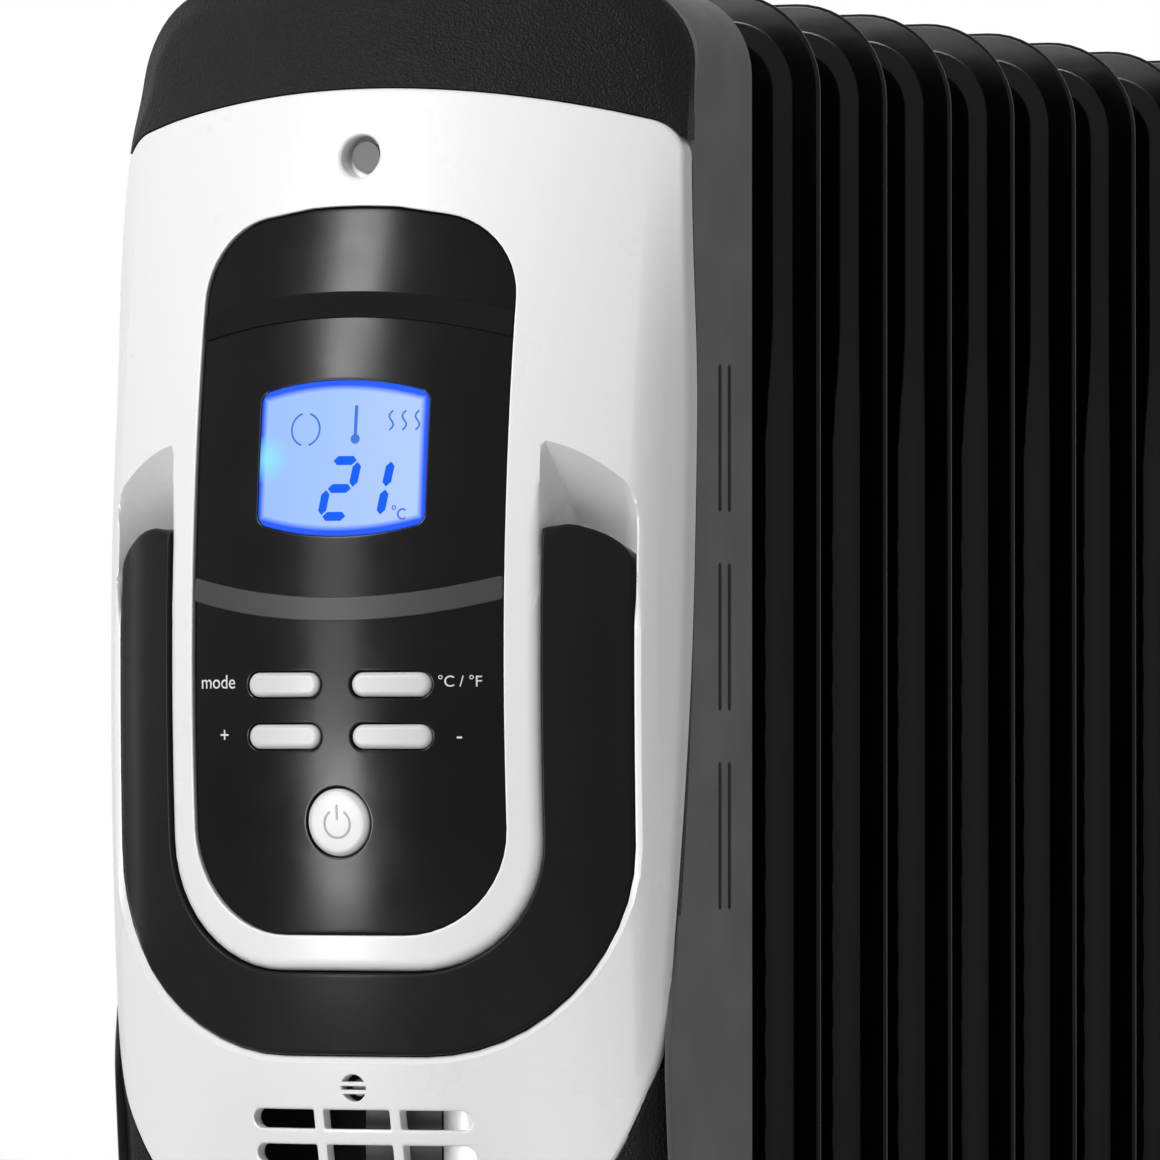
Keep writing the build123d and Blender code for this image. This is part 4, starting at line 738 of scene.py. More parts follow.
SLOT_EDGE = 2.4
OUTER_RIM = 1.6
OUTER_RIM_DROP = 1.3
CRISP_EDGE = 0.4
CHEEK_RUN = 20.0
POCKET_DEPTH = 15.5
POCKET_NEAR = 46.5
POCKET_FAR = 69.0
POCKET_LOW = 490.0
POCKET_HIGH = 512.0
SCOOP_FACE = bow_depth(HANDLE_INNER_HALF, SCOOP_TOP)


def opposite(point):
    return (-point[0], point[1])


def cover_loop(grow=0.0):
    shoulder = (COVER_SHOULDER[0] + grow, COVER_SHOULDER[1] + grow)
    side = (COVER_SIDE[0] + grow, COVER_SIDE[1])
    low = (COVER_LOW[0] + grow, COVER_LOW[1])
    return arc_loop(
        [
            (shoulder, (0, COVER_TOP + grow), opposite(shoulder), COVER_CORNER + grow),
            (opposite(shoulder), opposite(side), opposite(low), COVER_CORNER + grow),
            (opposite(low), (0, COVER_BOTTOM - grow), low, 0),
            (low, side, shoulder, 0),
        ]
    )


def panel_loop(grow=0.0):
    half = PANEL_HALF + grow
    low = PANEL_BOTTOM - grow
    edge_top = PANEL_TOP + grow - PANEL_CROWN
    return arc_loop(
        [
            ((half, edge_top), (0, PANEL_TOP + grow), (-half, edge_top), PANEL_TOP_CORNER + grow),
            ((-half, edge_top), None, (-half, low), PANEL_TOP_CORNER + grow),
            ((-half, low), None, (half, low), PANEL_LOW_CORNER + grow),
            ((half, low), None, (half, edge_top), PANEL_LOW_CORNER + grow),
        ]
    )


def handle_loop(grow, top, inner_top_r, ends=()):
    """The handle's U, grown on every side.

    The ends are the points that round its right arm's top, from outside in.
    """
    outer, inner = HANDLE_HALF + grow, HANDLE_INNER_HALF - grow
    low, inner_low = HANDLE_BOTTOM - grow, HANDLE_INNER_BOTTOM + grow
    bend, inner_bend = HANDLE_CORNER + grow, HANDLE_INNER_CORNER - grow
    right = [(x, z, 0) for x, z in ends] or [(outer, top, SLOT_TOP_CORNER)]
    left = [(-x, z, radius) for x, z, radius in reversed(right)]
    corners = left + [(-outer, low, bend), (outer, low, bend)] + right
    corners += [(inner, top, inner_top_r), (inner, inner_low, inner_bend)]
    corners += [(-inner, inner_low, inner_bend), (-inner, top, inner_top_r)]
    return rounded_loop(corners, 2.4)


def arm_end(grow=0.0):
    """The right arm's top, a quarter of an ellipse."""
    reach, rise = HANDLE_HALF - ARM_END_START + grow, HANDLE_TOP - PIVOT_Z + grow
    return [(ARM_END_START + reach * cos(t), PIVOT_Z + rise * sin(t)) for t in spread(0, pi / 2, 0.12)]


def vent_loops():
    segment = (VENT_LENGTH - 2 * VENT_WEB) / 3
    half = VENT_HEIGHT / 2
    loops = []
    for row in range(VENT_ROWS):
        z = VENT_TOP_Z - row * VENT_STEP
        for column in (-1, 0, 1):
            left = column * (segment + VENT_WEB) - segment / 2
            right = left + segment
            round_left = half if column < 0 else 0.5
            round_right = half if column > 0 else 0.5
            corners = [(left, z - half, round_left), (right, z - half, round_right)]
            corners += [(right, z + half, round_right), (left, z + half, round_left)]
            loops.append(rounded_loop(corners, 3.0))
    return loops


def sensor_loops():
    """The sensor hole, cut in three by its two bars."""
    inner = (SENSOR_BAR_STEP - SENSOR_BAR) / 2
    outer = (SENSOR_BAR_STEP + SENSOR_BAR) / 2
    start, inner_start = degrees(asin(outer / SENSOR_R)), degrees(asin(inner / SENSOR_R))
    cap = arc_points(0, SENSOR_Z, SENSOR_R, start, 180 - start, 12)
    below = [(x, 2 * SENSOR_Z - z) for x, z in reversed(cap)]
    middle = arc_points(0, SENSOR_Z, SENSOR_R, -inner_start, inner_start, 4)
    middle += arc_points(0, SENSOR_Z, SENSOR_R, 180 - inner_start, 180 + inner_start, 4)
    return [cap, middle, below]


def across_scoop(x):
    """0 at a scoop's inner side, 1 at its outer side."""
    inner = HANDLE_INNER_HALF - SLOT_GAP
    return (abs(x) - inner) / (HANDLE_HALF + SLOT_GAP - inner)


def ramp_drop(x, z):
    """How far a scoop's ramp lies behind the cover's face; negative above the scoop."""
    bulge = SCOOP_BULGE * sin(pi * min(1.0, max(0.0, across_scoop(x))))
    ramp = SCOOP_FACE - (SCOOP_TOP + bulge - z) * tan(radians(SCOOP_ANGLE))
    behind = bow_depth(x, z, 0.0) - ramp
    return BOW_R - sqrt(x**2 + (sqrt(BOW_R**2 - x**2) - behind) ** 2)


def rim_drop(run, radius, slope):
    """The fall of a rounded rim that turns into a steep wall."""
    if run <= 0:
        return 0.0
    turn = radius * slope / sqrt(1 + slope**2)
    if run < turn:
        return radius - sqrt(radius**2 - run**2)
    return radius - sqrt(radius**2 - turn**2) + (run - turn) * slope


def soft_least(a, b, fillet):
    """The lesser of two depths, with a fillet where they meet."""
    share = max(fillet - abs(a - b), 0.0) / fillet
    return min(a, b) - share**2 * fillet / 4


def slot_gate(z):
    """0 beside the handle's arms, 1 above them, where the slot's rims become the scoops' walls."""
    return smooth((z - GATE_LOW) / (GATE_HIGH - GATE_LOW))


def scoop_sink(x, z):
    """How far the two finger scoops above the handle's arms sink into the cover."""
    if not -0.2 < across_scoop(x) < 1.2 or not GATE_LOW < z < SCOOP_TOP + 2 * SCOOP_BULGE:
        return 0.0
    inner_edge = CRISP_EDGE + (SLOT_EDGE - CRISP_EDGE) * smooth((SCOOP_TOP - 4 - z) / CHEEK_RUN)
    inner_run = abs(x) - HANDLE_INNER_HALF + SLOT_GAP + inner_edge
    outer_run = HANDLE_HALF + SLOT_GAP + OUTER_RIM - abs(x)
    depth = soft_least(ramp_drop(x, z), rim_drop(inner_run, inner_edge, INNER_SLOPE), INNER_FILLET)
    depth = soft_least(depth, rim_drop(outer_run, SLOT_EDGE / 2, OUTER_SLOPE), OUTER_FILLET)
    return max(0.0, depth) * slot_gate(z)


def scoop_crease(side):
    """The curve along which a scoop meets the cover's face."""
    line = []
    for x in spread(HANDLE_INNER_HALF - SLOT_GAP, HANDLE_HALF + SLOT_GAP, 0.8):
        low, high = SLOT_TOP, SCOOP_TOP + 2 * SCOOP_BULGE
        for _ in range(30):
            z = (low + high) / 2
            if ramp_drop(x, z) > 0:
                low = z
            else:
                high = z
        line.append((side * x, z))
    return line


def beyond_inner_rim(x, z):
    """Distance outside the slot's inner rim, which is about 0 on the rim itself."""
    bend = HANDLE_INNER_CORNER - SLOT_GAP
    across = abs(x) - HANDLE_INNER_HALF + SLOT_GAP + bend
    down = HANDLE_INNER_BOTTOM + SLOT_GAP + bend - z
    if min(across, down) > 0:
        return sqrt(across**2 + down**2) - bend
    return max(across, down) - bend


def slot_path(loop):
    """The section of the slot's edge: round at its inner rim, a straight slope at its outer rim."""
    outer = np.array([1.0 if beyond_inner_rim(x, z) > 5 else 0.0 for x, z in loop])
    gate = np.array([slot_gate(z) for _, z in loop])
    size = SLOT_EDGE + (CRISP_EDGE - SLOT_EDGE) * gate
    path = [(0.0, COVER_DEPTH)]
    for share, (offset, inset) in zip(spread(0, 1, 1 / 6), edge_path(0, 1, 1, steps=6)[1:-1]):
        round_rim = (size * offset, size * inset)
        slope_rim = (OUTER_RIM * share, OUTER_RIM_DROP * (1 - share) * (1 - gate))
        path.append(tuple(a + (b - a) * outer for a, b in zip(round_rim, slope_rim)))
    return path + [(size + (OUTER_RIM - size) * outer + 0.5, 0.0)]


def with_fine(values, low, high, step):
    """Lattice lines with finer ones between two values."""
    rest = [v for v in values if not low - step < v < high + step]
    return sorted([*rest, *spread(low, high, step)])


FRONT_COLUMNS = spread(-72, 72, 3.0)
SLOT_COLUMNS = ((44.5, 51.0, 0.5), (66.0, 71.5, 0.5), (52.0, 65.0, 1.1))
SCOOP_ROWS = (486.0, 533.0, 0.9)
cover_columns = FRONT_COLUMNS
for near, far, step in SLOT_COLUMNS:
    cover_columns = with_fine(with_fine(cover_columns, near, far, step), -far, -near, step)
cover_rows = with_fine(spread(330, 612, 4.0), *SCOOP_ROWS)
slot_loop = hole(handle_loop(SLOT_GAP, SLOT_TOP, 1.0))
window = [hole(panel_loop(0.2)), slot_loop, hole(circle_loop(0, SCREW_Z, SCREW_RECESS_R, 40))]
small_holes = vent_loops() + sensor_loops()
cover_edge = cover_loop()
edge_gain = np.array([smooth((z - COVER_THIN_Z) / COVER_THIN_RUN) for _, z in cover_edge])
edge_depths = COVER_LOW_DEPTH + (COVER_DEPTH - COVER_LOW_DEPTH) * edge_gain
cover_solid = flat_solid(
    [cover_edge] + window + [hole(loop) for loop in small_holes],
    [
        edge_path(0, edge_depths, 0.8),
        edge_path(0, COVER_DEPTH, 0.5),
        slot_path(slot_loop),
        edge_path(0, SCREW_RECESS_DEPTH, 1.1),
        *[edge_path(0, COVER_DEPTH, 0.4, steps=2) for _ in vent_loops()],
        *[edge_path(0, COVER_DEPTH, 0.15, steps=1, guard=0.2) for _ in sensor_loops()],
    ],
    cover_columns,
    cover_rows,
    [scoop_crease(side) for side in (-1, 1)],
    scoop_sink,
)
recess_floor = flat_solid(
    [circle_loop(0, SCREW_Z, SCREW_RECESS_R + 0.6, 40)],
    [edge_path(SCREW_RECESS_DEPTH - 0.1, SCREW_RECESS_DEPTH + 1, 0.2)],
    spread(-4, 4, 2.0),
    spread(SCREW_Z - 4, SCREW_Z + 4, 2.0),
)
pocket_backs = [
    flat_solid(
        [box_loop(left, right, POCKET_LOW, POCKET_HIGH, 1.0)],
        [edge_path(POCKET_DEPTH, POCKET_DEPTH + 1, 0.3)],
        spread(left, right, 3.0),
        spread(POCKET_LOW, POCKET_HIGH, 4.0),
    )
    for left, right in ((POCKET_NEAR, POCKET_FAR), (-POCKET_FAR, -POCKET_NEAR))
]
cover_solids = [cover_solid, recess_floor, *pocket_backs]
bowed_piece("front_cover_skin", "cover_white", *cover_solids, replaced=("front_cover",))

# Front shell: the hood above the cover, the lower front below it, and what shows behind the cover

HOUSING_TOP = 640.0
HOUSING_BOTTOM = 80.0
HOUSING_CORNER = 22.0
HOOD_INSET = 0.4
HOOD_DEPTH = 3.9
HOOD_RIM = 6.0
HOOD_RIM_DROP = 1.1
HOOD_RIM_BEND = 1.2
HOOD_EDGE = 1.1
HOOD_TIP_Z = 601.0
LOWER_TIP_Z = 384.0
LOWER_HALF = 72.0
LOWER_DEPTH = 5.0
TIP_SHARE = 0.16
TIP_RUN = 16.0
SHELF_SHARE = 0.04
SEAM_FRONT = 2.6
SEAM_BACK = 4.8
SEAM_GAP = 0.3
SEAM_WIDTH = 4.0
HOOD_TIP_HALF = 73.5
HOOD_TOP_HALF = 71.1
COVER_GAP = 0.3
CORE_HALF = 70.3
CORE_LOW = 92.0
CORE_HIGH = 628.0
CORE_INSET = 1.5
BOSS_LOW = 499.0
SCOOP_MARGIN = 3.0


def rim_path(front, depth, share):
    """A wall's section with a rounded edge and a sloping rim before the face; share scales the rim."""
    edge = HOOD_EDGE * share
    drop = front + HOOD_RIM_DROP * share
    path = [(0.0 * share, depth)]
    for turn in spread(0, pi / 2, 0.32):
        path.append((edge * (1 - cos(turn)), drop + edge * (1 - sin(turn))))
    for step in spread(-1, 1, 0.4):
        run = (HOOD_RIM + HOOD_RIM_BEND * step) * share
        fall = HOOD_RIM_DROP * HOOD_RIM_BEND / (HOOD_RIM - HOOD_EDGE) * share
        path.append((run, front + fall * ((1 - step) / 2) ** 2))
    return path + [((HOOD_RIM + HOOD_RIM_BEND) * share + 0.3, front)]


def housing_plate(tip, end, half, end_half, depth):
    """The housing's front between its end and the cover's edge; its tips run out beside the cover."""
    way = 1 if end > tip else -1
    corners = [(way * half, tip, 0), (way * end_half, end, HOUSING_CORNER)]
    corners += [(-way * end_half, end, HOUSING_CORNER), (-way * half, tip, 0)]
    loop = rounded_loop(corners)
    outer = loop[: loop.index((-way * half, tip)) + 1]
    shelf = [p for p in cover_loop(COVER_GAP) if way * (p[1] - tip) > 0]
    shelf.sort(key=lambda p: way * p[0])
    shares = [TIP_SHARE + (1 - TIP_SHARE) * smooth(abs(z - tip) / TIP_RUN) for _, z in outer]
    shares += [SHELF_SHARE] * len(shelf)
    section = rim_path(HOOD_INSET, depth, np.array(shares))
    rows = spread(min(tip, end), max(tip, end), 4.0)
    return flat_solid([outer + shelf], [section], FRONT_COLUMNS, rows)


def shell_core():
    """The ledge and the handle's trough behind the cover, from the front shell's own solid."""
    work = bmesh.new()
    work.from_mesh(nodes["front_shell"].data)
    bmesh.ops.remove_doubles(work, verts=work.verts, dist=1e-6)
    cuts = [((CORE_HALF, 0, 0), (1, 0, 0)), ((-CORE_HALF, 0, 0), (-1, 0, 0))]
    cuts += [((0, 0, CORE_HIGH), (0, 0, 1)), ((0, 0, CORE_LOW), (0, 0, -1))]
    for spot, way in cuts:
        parts = work.verts[:] + work.edges[:] + work.faces[:]
        bmesh.ops.bisect_plane(work, geom=parts, plane_co=Vector(spot) * MM, plane_no=way, clear_outer=True)
    front = []
    for face in work.faces:
        depths = [(FIN_Y * MM - v.co.y) / MM for v in face.verts]
        fronts = [bow_depth(v.co.x / MM, v.co.z / MM, CORE_INSET) for v in face.verts]
        middle = face.calc_center_median() / MM
        beside = abs(middle.x) > HANDLE_INNER_HALF - SCOOP_MARGIN
        by_scoop = beside and BOSS_LOW < middle.z < SCOOP_TOP + SCOOP_MARGIN
        if by_scoop or any(d > f for d, f in zip(depths, fronts)):
            front.append(face)
    bmesh.ops.delete(work, geom=front, context="FACES")
    mesh = bpy.data.meshes.new("shell_core")
    work.to_mesh(mesh)
    work.free()
    return mesh


def seam_ring():
    """The dark edge that shows behind the cover's rim."""
    loops = [cover_loop(-SEAM_GAP), hole(cover_loop(-SEAM_WIDTH))]
    section = edge_path(SEAM_FRONT, SEAM_BACK, 0.3, guard=0.3)
    return flat_solid(loops, [section, section], spread(-72, 72, 6.0), spread(330, 612, 6.0))


def joined(name, *meshes):
    """One mesh out of several."""
    work = bmesh.new()
    for mesh in meshes:
        work.from_mesh(mesh)
    mesh = bpy.data.meshes.new(name)
    work.to_mesh(mesh)
    work.free()
    return mesh


COLLAR_HALF = 73.1
COLLAR_TRIM = 1.2
COLLAR_SWELL = 1.2
UPPER_COLLAR_WALL = 2.5
UPPER_COLLAR_LOW = 558.0
UPPER_COLLAR_FRONT = 3.4
UPPER_COLLAR_BACK = 17.0
LOWER_COLLAR_WALL = 0.9
LOWER_COLLAR_HIGH = 440.0
LOWER_COLLAR_FRONTS = (3.6, -1.8)
LOWER_COLLAR_BACKS = (8.0, 24.0)
COLLAR_SHOWS_Z = 420.0
COLLAR_SHOWS_RUN = 40.0
COLLAR_ENDS_Z = 85.0
COLLAR_ENDS_RUN = 60.0
COLLAR_THICKENS_Z = 405.0
COLLAR_THICKENS_RUN = 75.0


def side_collar(tip, end, wall, front_at, back_at):
    """The front end of the grey side walls, from a height to the housing's end."""
    way = 1 if end > tip else -1
    corner = HOUSING_CORNER - COLLAR_TRIM - COLLAR_SWELL
    half, inner = way * COLLAR_HALF, way * (COLLAR_HALF - wall)
    level = end - way * COLLAR_TRIM
    inner_level = level - way * wall
    corners = [(-half, level, corner), (-half, tip, 0)]
    corners += [(-inner, tip, 0), (-inner, inner_level, corner - wall)]
    corners += [(-x, z, radius) for x, z, radius in reversed(corners)]
    loop = rounded_loop(corners)
    fronts = np.array([front_at(z) for _, z in loop])
    backs = np.array([back_at(z) for _, z in loop])
    return flat_solid([loop], [edge_path(fronts, backs, 0.25, guard=0.1)], (-70, 70), (tip, end))


def lower_collar_front(z):
    """The lower collar comes forward below the cover and sinks back at the housing's bottom."""
    hidden, shown = LOWER_COLLAR_FRONTS
    share = smooth((COLLAR_SHOWS_Z - z) / COLLAR_SHOWS_RUN) * smooth((z - COLLAR_ENDS_Z) / COLLAR_ENDS_RUN)
    return hidden + (shown - hidden) * share


def lower_collar_back(z):
    """The lower collar is thicker below the cover."""
    thin, thick = LOWER_COLLAR_BACKS
    return thin + (thick - thin) * smooth((COLLAR_THICKENS_Z - z) / COLLAR_THICKENS_RUN)


def upper_collar_front(z):
    return UPPER_COLLAR_FRONT


def upper_collar_back(z):
    return UPPER_COLLAR_BACK


upper_collar = side_collar(
    UPPER_COLLAR_LOW, HOUSING_TOP, UPPER_COLLAR_WALL, upper_collar_front, upper_collar_back
)
lower_collar = side_collar(
    LOWER_COLLAR_HIGH, HOUSING_BOTTOM, LOWER_COLLAR_WALL, lower_collar_front, lower_collar_back
)
bowed_piece("side_collars", "side_grey", upper_collar, lower_collar)

hood = housing_plate(HOOD_TIP_Z, HOUSING_TOP, HOOD_TIP_HALF, HOOD_TOP_HALF, HOOD_DEPTH)
lower_front = housing_plate(LOWER_TIP_Z, HOUSING_BOTTOM, LOWER_HALF, LOWER_HALF, LOWER_DEPTH)
shell_front = as_mesh("shell_front", hood, lower_front, seam_ring())
shell_front = tidied(grown(shell_front, bowed_front, finishes["hood_black"]))
shell = tidied(joined("shell", shell_front, shell_core()))
piece("front_shell_skin", shell, "hood_black", replaced=("front_shell",))

# Control panel, its bands, display and buttons

LENS_HALF = 21.75
LENS_MIDDLE_Z = 526.2
LENS_HALF_HEIGHT = 18.3
LENS_CROWN = 3.0
LENS_CORNER = 3.0
LENS_DEPTH = 2.8
PANEL_DEPTH = 4.0
BUTTON_LENGTH = 19.6
BUTTON_HEIGHT = 5.8
BUTTON_INSET = 0.4
BUTTON_DEPTH = 5.0
BUTTON_GAP = 0.3
BUTTON_EDGE = 1.3
POWER_R = 8.0
BUTTON_SPOTS = {
    "mode": (-14.0, 473.0),
    "unit": (14.0, 473.0),
    "plus": (-14.0, 460.8),
    "minus": (14.0, 460.8),
    "power": (0.0, 440.7),
}
BAND_INSET = 0.5
BAND_DEPTH = 1.6
BAND_CORNER = 0.8
BAND_BEND_R = 165.0
BAND_HALF = 40.35
UPPER_BAND = (565.5, 6.2, 1)
LOWER_BAND = (487.9, 5.6, -1)


def lens_loop(grow=0.0):
    half = LENS_HALF + grow
    low = LENS_MIDDLE_Z - LENS_HALF_HEIGHT - grow
    high = LENS_MIDDLE_Z + LENS_HALF_HEIGHT + grow
    edge_low, edge_high = low + LENS_CROWN, high - LENS_CROWN
    corner = LENS_CORNER + grow
    return arc_loop(
        [
            ((half, edge_high), (0, high), (-half, edge_high), corner),
            ((-half, edge_high), None, (-half, edge_low), corner),
            ((-half, edge_low), (0, low), (half, edge_low), corner),
            ((half, edge_low), None, (half, edge_high), corner),
        ]
    )


def button_loop(name, grow=0.0):
    x, z = BUTTON_SPOTS[name]
    if name == "power":
        return circle_loop(x, z, POWER_R + grow, 64)
    half, rise = BUTTON_LENGTH / 2 + grow, BUTTON_HEIGHT / 2 + grow
    ends = arc_points(x + half - rise, z, rise, -90, 90, 16)
    ends += arc_points(x - half + rise, z, rise, 90, 270, 16)
    return rounded_loop([(*p, 0) for p in ends], 2.0)


def band_loop(middle_z, width, side):
    """A curved band across the panel: side 1 arches up in the middle, side -1 sags."""
    sag = BAND_BEND_R - sqrt(BAND_BEND_R**2 - BAND_HALF**2)
    near, far = middle_z, middle_z - side * width
    high, low = max(near, far), min(near, far)
    right_high, right_low = (BAND_HALF, high - side * sag), (BAND_HALF, low - side * sag)
    return arc_loop(
        [
            (right_high, (0, high), opposite(right_high), BAND_CORNER),
            (opposite(right_high), None, opposite(right_low), BAND_CORNER),
            (opposite(right_low), (0, low), right_low, BAND_CORNER),
            (right_low, None, right_high, BAND_CORNER),
        ]
    )


panel_holes = [lens_loop(0.1)] + [button_loop(name, BUTTON_GAP) for name in BUTTON_SPOTS]
panel_solid = flat_solid(
    [panel_loop()] + [hole(loop) for loop in panel_holes],
    [edge_path(PANEL_INSET, PANEL_DEPTH, 0.5)]
    + [edge_path(PANEL_INSET, PANEL_DEPTH, 0.25, steps=2, guard=0.4) for _ in panel_holes],
    spread(-40, 40, 2.5),
    spread(414, 586, 2.5),
)
bowed_piece("control_panel_skin", "panel_black", panel_solid, replaced=("control_panel",))

band_section = edge_path(BAND_INSET, BAND_DEPTH, 0.3, guard=0.3)
bands = [
    flat_solid([band_loop(*band)], [band_section], spread(-39, 39, 2.0), spread(470, 570, 1.5))
    for band in (UPPER_BAND, LOWER_BAND)
]
bowed_piece("accent_bands_skin", "band_grey", *bands, replaced=("accent_bands",))

FIELD_LEFT = (0.33, 0.52, 0.97)
FIELD_RIGHT = (0.46, 0.62, 0.98)
RIM_BLUE = (0.008, 0.09, 0.95)
GLOW_CYAN = (0.25, 0.85, 1.0)
DIGIT_BLUE = (0.002, 0.115, 0.95)
SIGN_BLUE = (0.06, 0.19, 0.75)
RIM_INNER = 1.9
RIM_OUTER = 0.5
GLOW_X = 19.5
GLOW_R = 6.0
GLOW_SHARE = 0.85
RIM_LIFT = 0.6


def lit_display():
    """A pale blue lit field with a deep blue rim and a bright spot at its left."""
    finish = Finish("lit_display", (0.02, 0.03, 0.05), 0.25, 0.0)
    tree = finish.tree
    split = tree.nodes.new("ShaderNodeSeparateXYZ")
    tree.links.new(finish.place, split.inputs[0])
    x, _, z = split.outputs
    rise = math_node(tree, "SUBTRACT", z, LENS_MIDDLE_Z * MM)
    across = math_node(tree, "SUBTRACT", LENS_HALF * MM, math_node(tree, "ABSOLUTE", x))
    along = math_node(tree, "SUBTRACT", (LENS_HALF_HEIGHT - RIM_LIFT) * MM, math_node(tree, "ABSOLUTE", rise))
    bend = math_node(tree, "MULTIPLY", math_node(tree, "MULTIPLY", x, x), LENS_CROWN / LENS_HALF**2 / MM)
    edge = math_node(tree, "MINIMUM", across, math_node(tree, "SUBTRACT", along, bend))
    spot_x = math_node(tree, "ADD", x, GLOW_X * MM)
    spot_x = math_node(tree, "MULTIPLY", spot_x, spot_x)
    reach = math_node(tree, "ADD", spot_x, math_node(tree, "MULTIPLY", rise, rise))
    reach = math_node(tree, "SQRT", reach)
    layers = [
        (finish.ranged(x, 0, 1, -LENS_HALF * MM, LENS_HALF * MM), FIELD_LEFT, FIELD_RIGHT),
        (finish.ranged(edge, 0, 1, RIM_INNER * MM, RIM_OUTER * MM), None, RIM_BLUE),
        (finish.ranged(reach, 0, GLOW_SHARE, GLOW_R * MM, 0), None, GLOW_CYAN),
    ]
    colour = None
    for factor, low, high in layers:
        mix = tree.nodes.new("ShaderNodeMix")
        mix.data_type = "RGBA"
        below, above = [socket for socket in mix.inputs if socket.type == "RGBA"]
        if low:
            below.default_value = (*low, 1)
        else:
            tree.links.new(colour, below)
        above.default_value = (*high, 1)
        tree.links.new(factor, mix.inputs["Factor"])
        colour = [socket for socket in mix.outputs if socket.type == "RGBA"][0]
    tree.links.new(colour, finish.shader.inputs["Emission Color"])
    finish.shader.inputs["Emission Strength"].default_value = 1.0
    return finish.material


def glowing(name, colour):
    finish = Finish(name, (0.01, 0.01, 0.02), 0.3, 0.0)
    finish.shader.inputs["Emission Color"].default_value = (*colour, 1)
    finish.shader.inputs["Emission Strength"].default_value = 1.0
    return finish.material


lens_solid = flat_solid(
    [lens_loop()], [edge_path(PANEL_INSET, LENS_DEPTH, 0.3)], spread(-21, 21, 2.0), spread(508, 545, 2.0)
)
bowed_piece("display_lens_skin", "display_blue", lens_solid, replaced=("display_lens",), finish=lit_display())

PRINT_PROUD = 0.06
PRINT_INSET = PANEL_INSET - 0.02


def stroke_loop(line, width):
    """The outline of a stroke along a line of points."""
    points = np.array(line, float)
    ahead = np.gradient(points, axis=0)
    ahead /= np.linalg.norm(ahead, axis=1)[:, None]
    aside = np.stack([-ahead[:, 1], ahead[:, 0]], 1) * width / 2
    return [tuple(p) for p in points - aside] + [tuple(p) for p in (points + aside)[::-1]]


def print_solid(loop, inset):
    """A thin printed shape just proud of a face."""
    xs, zs = zip(*loop)
    section = [(0.0, inset + PRINT_PROUD), (0.0, inset - PRINT_PROUD)]
    return flat_solid([loop], [section], spread(min(xs), max(xs), 2.0), spread(min(zs), max(zs), 2.0))


DIGIT_LEAN = 0.19
DIGIT_STROKE = 2.1
DIGIT_GAP = 0.35
SEGMENTS = {"2": "abged", "1": "bc"}


def digit_loops(digit, left, right, low, high):
    """The lit segments of a leaning digit."""
    half = DIGIT_STROKE / 2
    x_low, x_high, z_low, z_high = left + half, right - half, low + half, high - half
    middle = (low + high) / 2
    ends = {
        "a": ((x_low, z_high), (x_high, z_high)),
        "b": ((x_high, middle), (x_high, z_high)),
        "c": ((x_high, z_low), (x_high, middle)),
        "d": ((x_low, z_low), (x_high, z_low)),
        "e": ((x_low, z_low), (x_low, middle)),
        "g": ((x_low, middle), (x_high, middle)),
    }
    loops = []
    for name in SEGMENTS[digit]:
        (ax, az), (bx, bz) = ends[name]
        level = az == bz
        reach = DIGIT_GAP
        if level:
            loop = [(ax + reach, az), (ax + half + reach, az - half), (bx - half - reach, az - half)]
            loop += [(bx - reach, az), (bx - half - reach, az + half), (ax + half + reach, az + half)]
        else:
            loop = [(ax, az + reach), (ax + half, az + half + reach), (ax + half, bz - half - reach)]
            loop += [(ax, bz - reach), (ax - half, bz - half - reach), (ax - half, az + half + reach)]
        loops.append([(x + (z - middle) * DIGIT_LEAN, z) for x, z in loop])
    return loops


CLOCK = (-9.2, 533.0, 3.8)
BULB = (4.0, 530.6, 1.15)
STEM_HEIGHTS = (531.5, 534.0, 538.5)
WAVE_PLACES = (12.9, 16.1, 19.3)
WAVE_LOW = 532.6
WAVE_HEIGHT = 4.6
UNIT_LETTER = (16.5, 512.9, 1.15)
UNIT_RING = (14.4, 514.4, 0.45)
DIGIT_LOW = 511.4
DIGIT_HIGH = 526.6
DIGITS = (("2", -4.0, 4.8), ("1", 5.0, 13.2))


def wave(x, z, height):
    """A wavy upright line, for the sign of rising heat."""
    return [(x + 0.7 * sin(t) + 0.12 * (t - pi), z + height * t / (2 * pi)) for t in spread(0, 2 * pi, 0.4)]


digits = []
for digit, left, right in DIGITS:
    digits += digit_loops(digit, left, right, DIGIT_LOW, DIGIT_HIGH)
signs = []
for start in (105, -75):
    signs.append(stroke_loop(arc_points(*CLOCK, start, start + 150, 20), 0.45))
signs.append(circle_loop(*BULB, 20))
signs.append(stroke_loop([(BULB[0], z) for z in STEM_HEIGHTS], 0.8))
for x in WAVE_PLACES:
    signs.append(stroke_loop(wave(x, WAVE_LOW, WAVE_HEIGHT), 0.4))
signs.append(stroke_loop(arc_points(*UNIT_LETTER, 50, 310, 12), 0.4))
signs.append(stroke_loop(arc_points(*UNIT_RING, 0, 359, 10), 0.25))
for name, loops, colour in (("digits", digits, DIGIT_BLUE), ("signs", signs, SIGN_BLUE)):
    prints = [print_solid(loop, PRINT_INSET) for loop in loops]
    bowed_piece(f"display_{name}", "display_blue", *prints, finish=glowing(f"{name}_blue", colour))


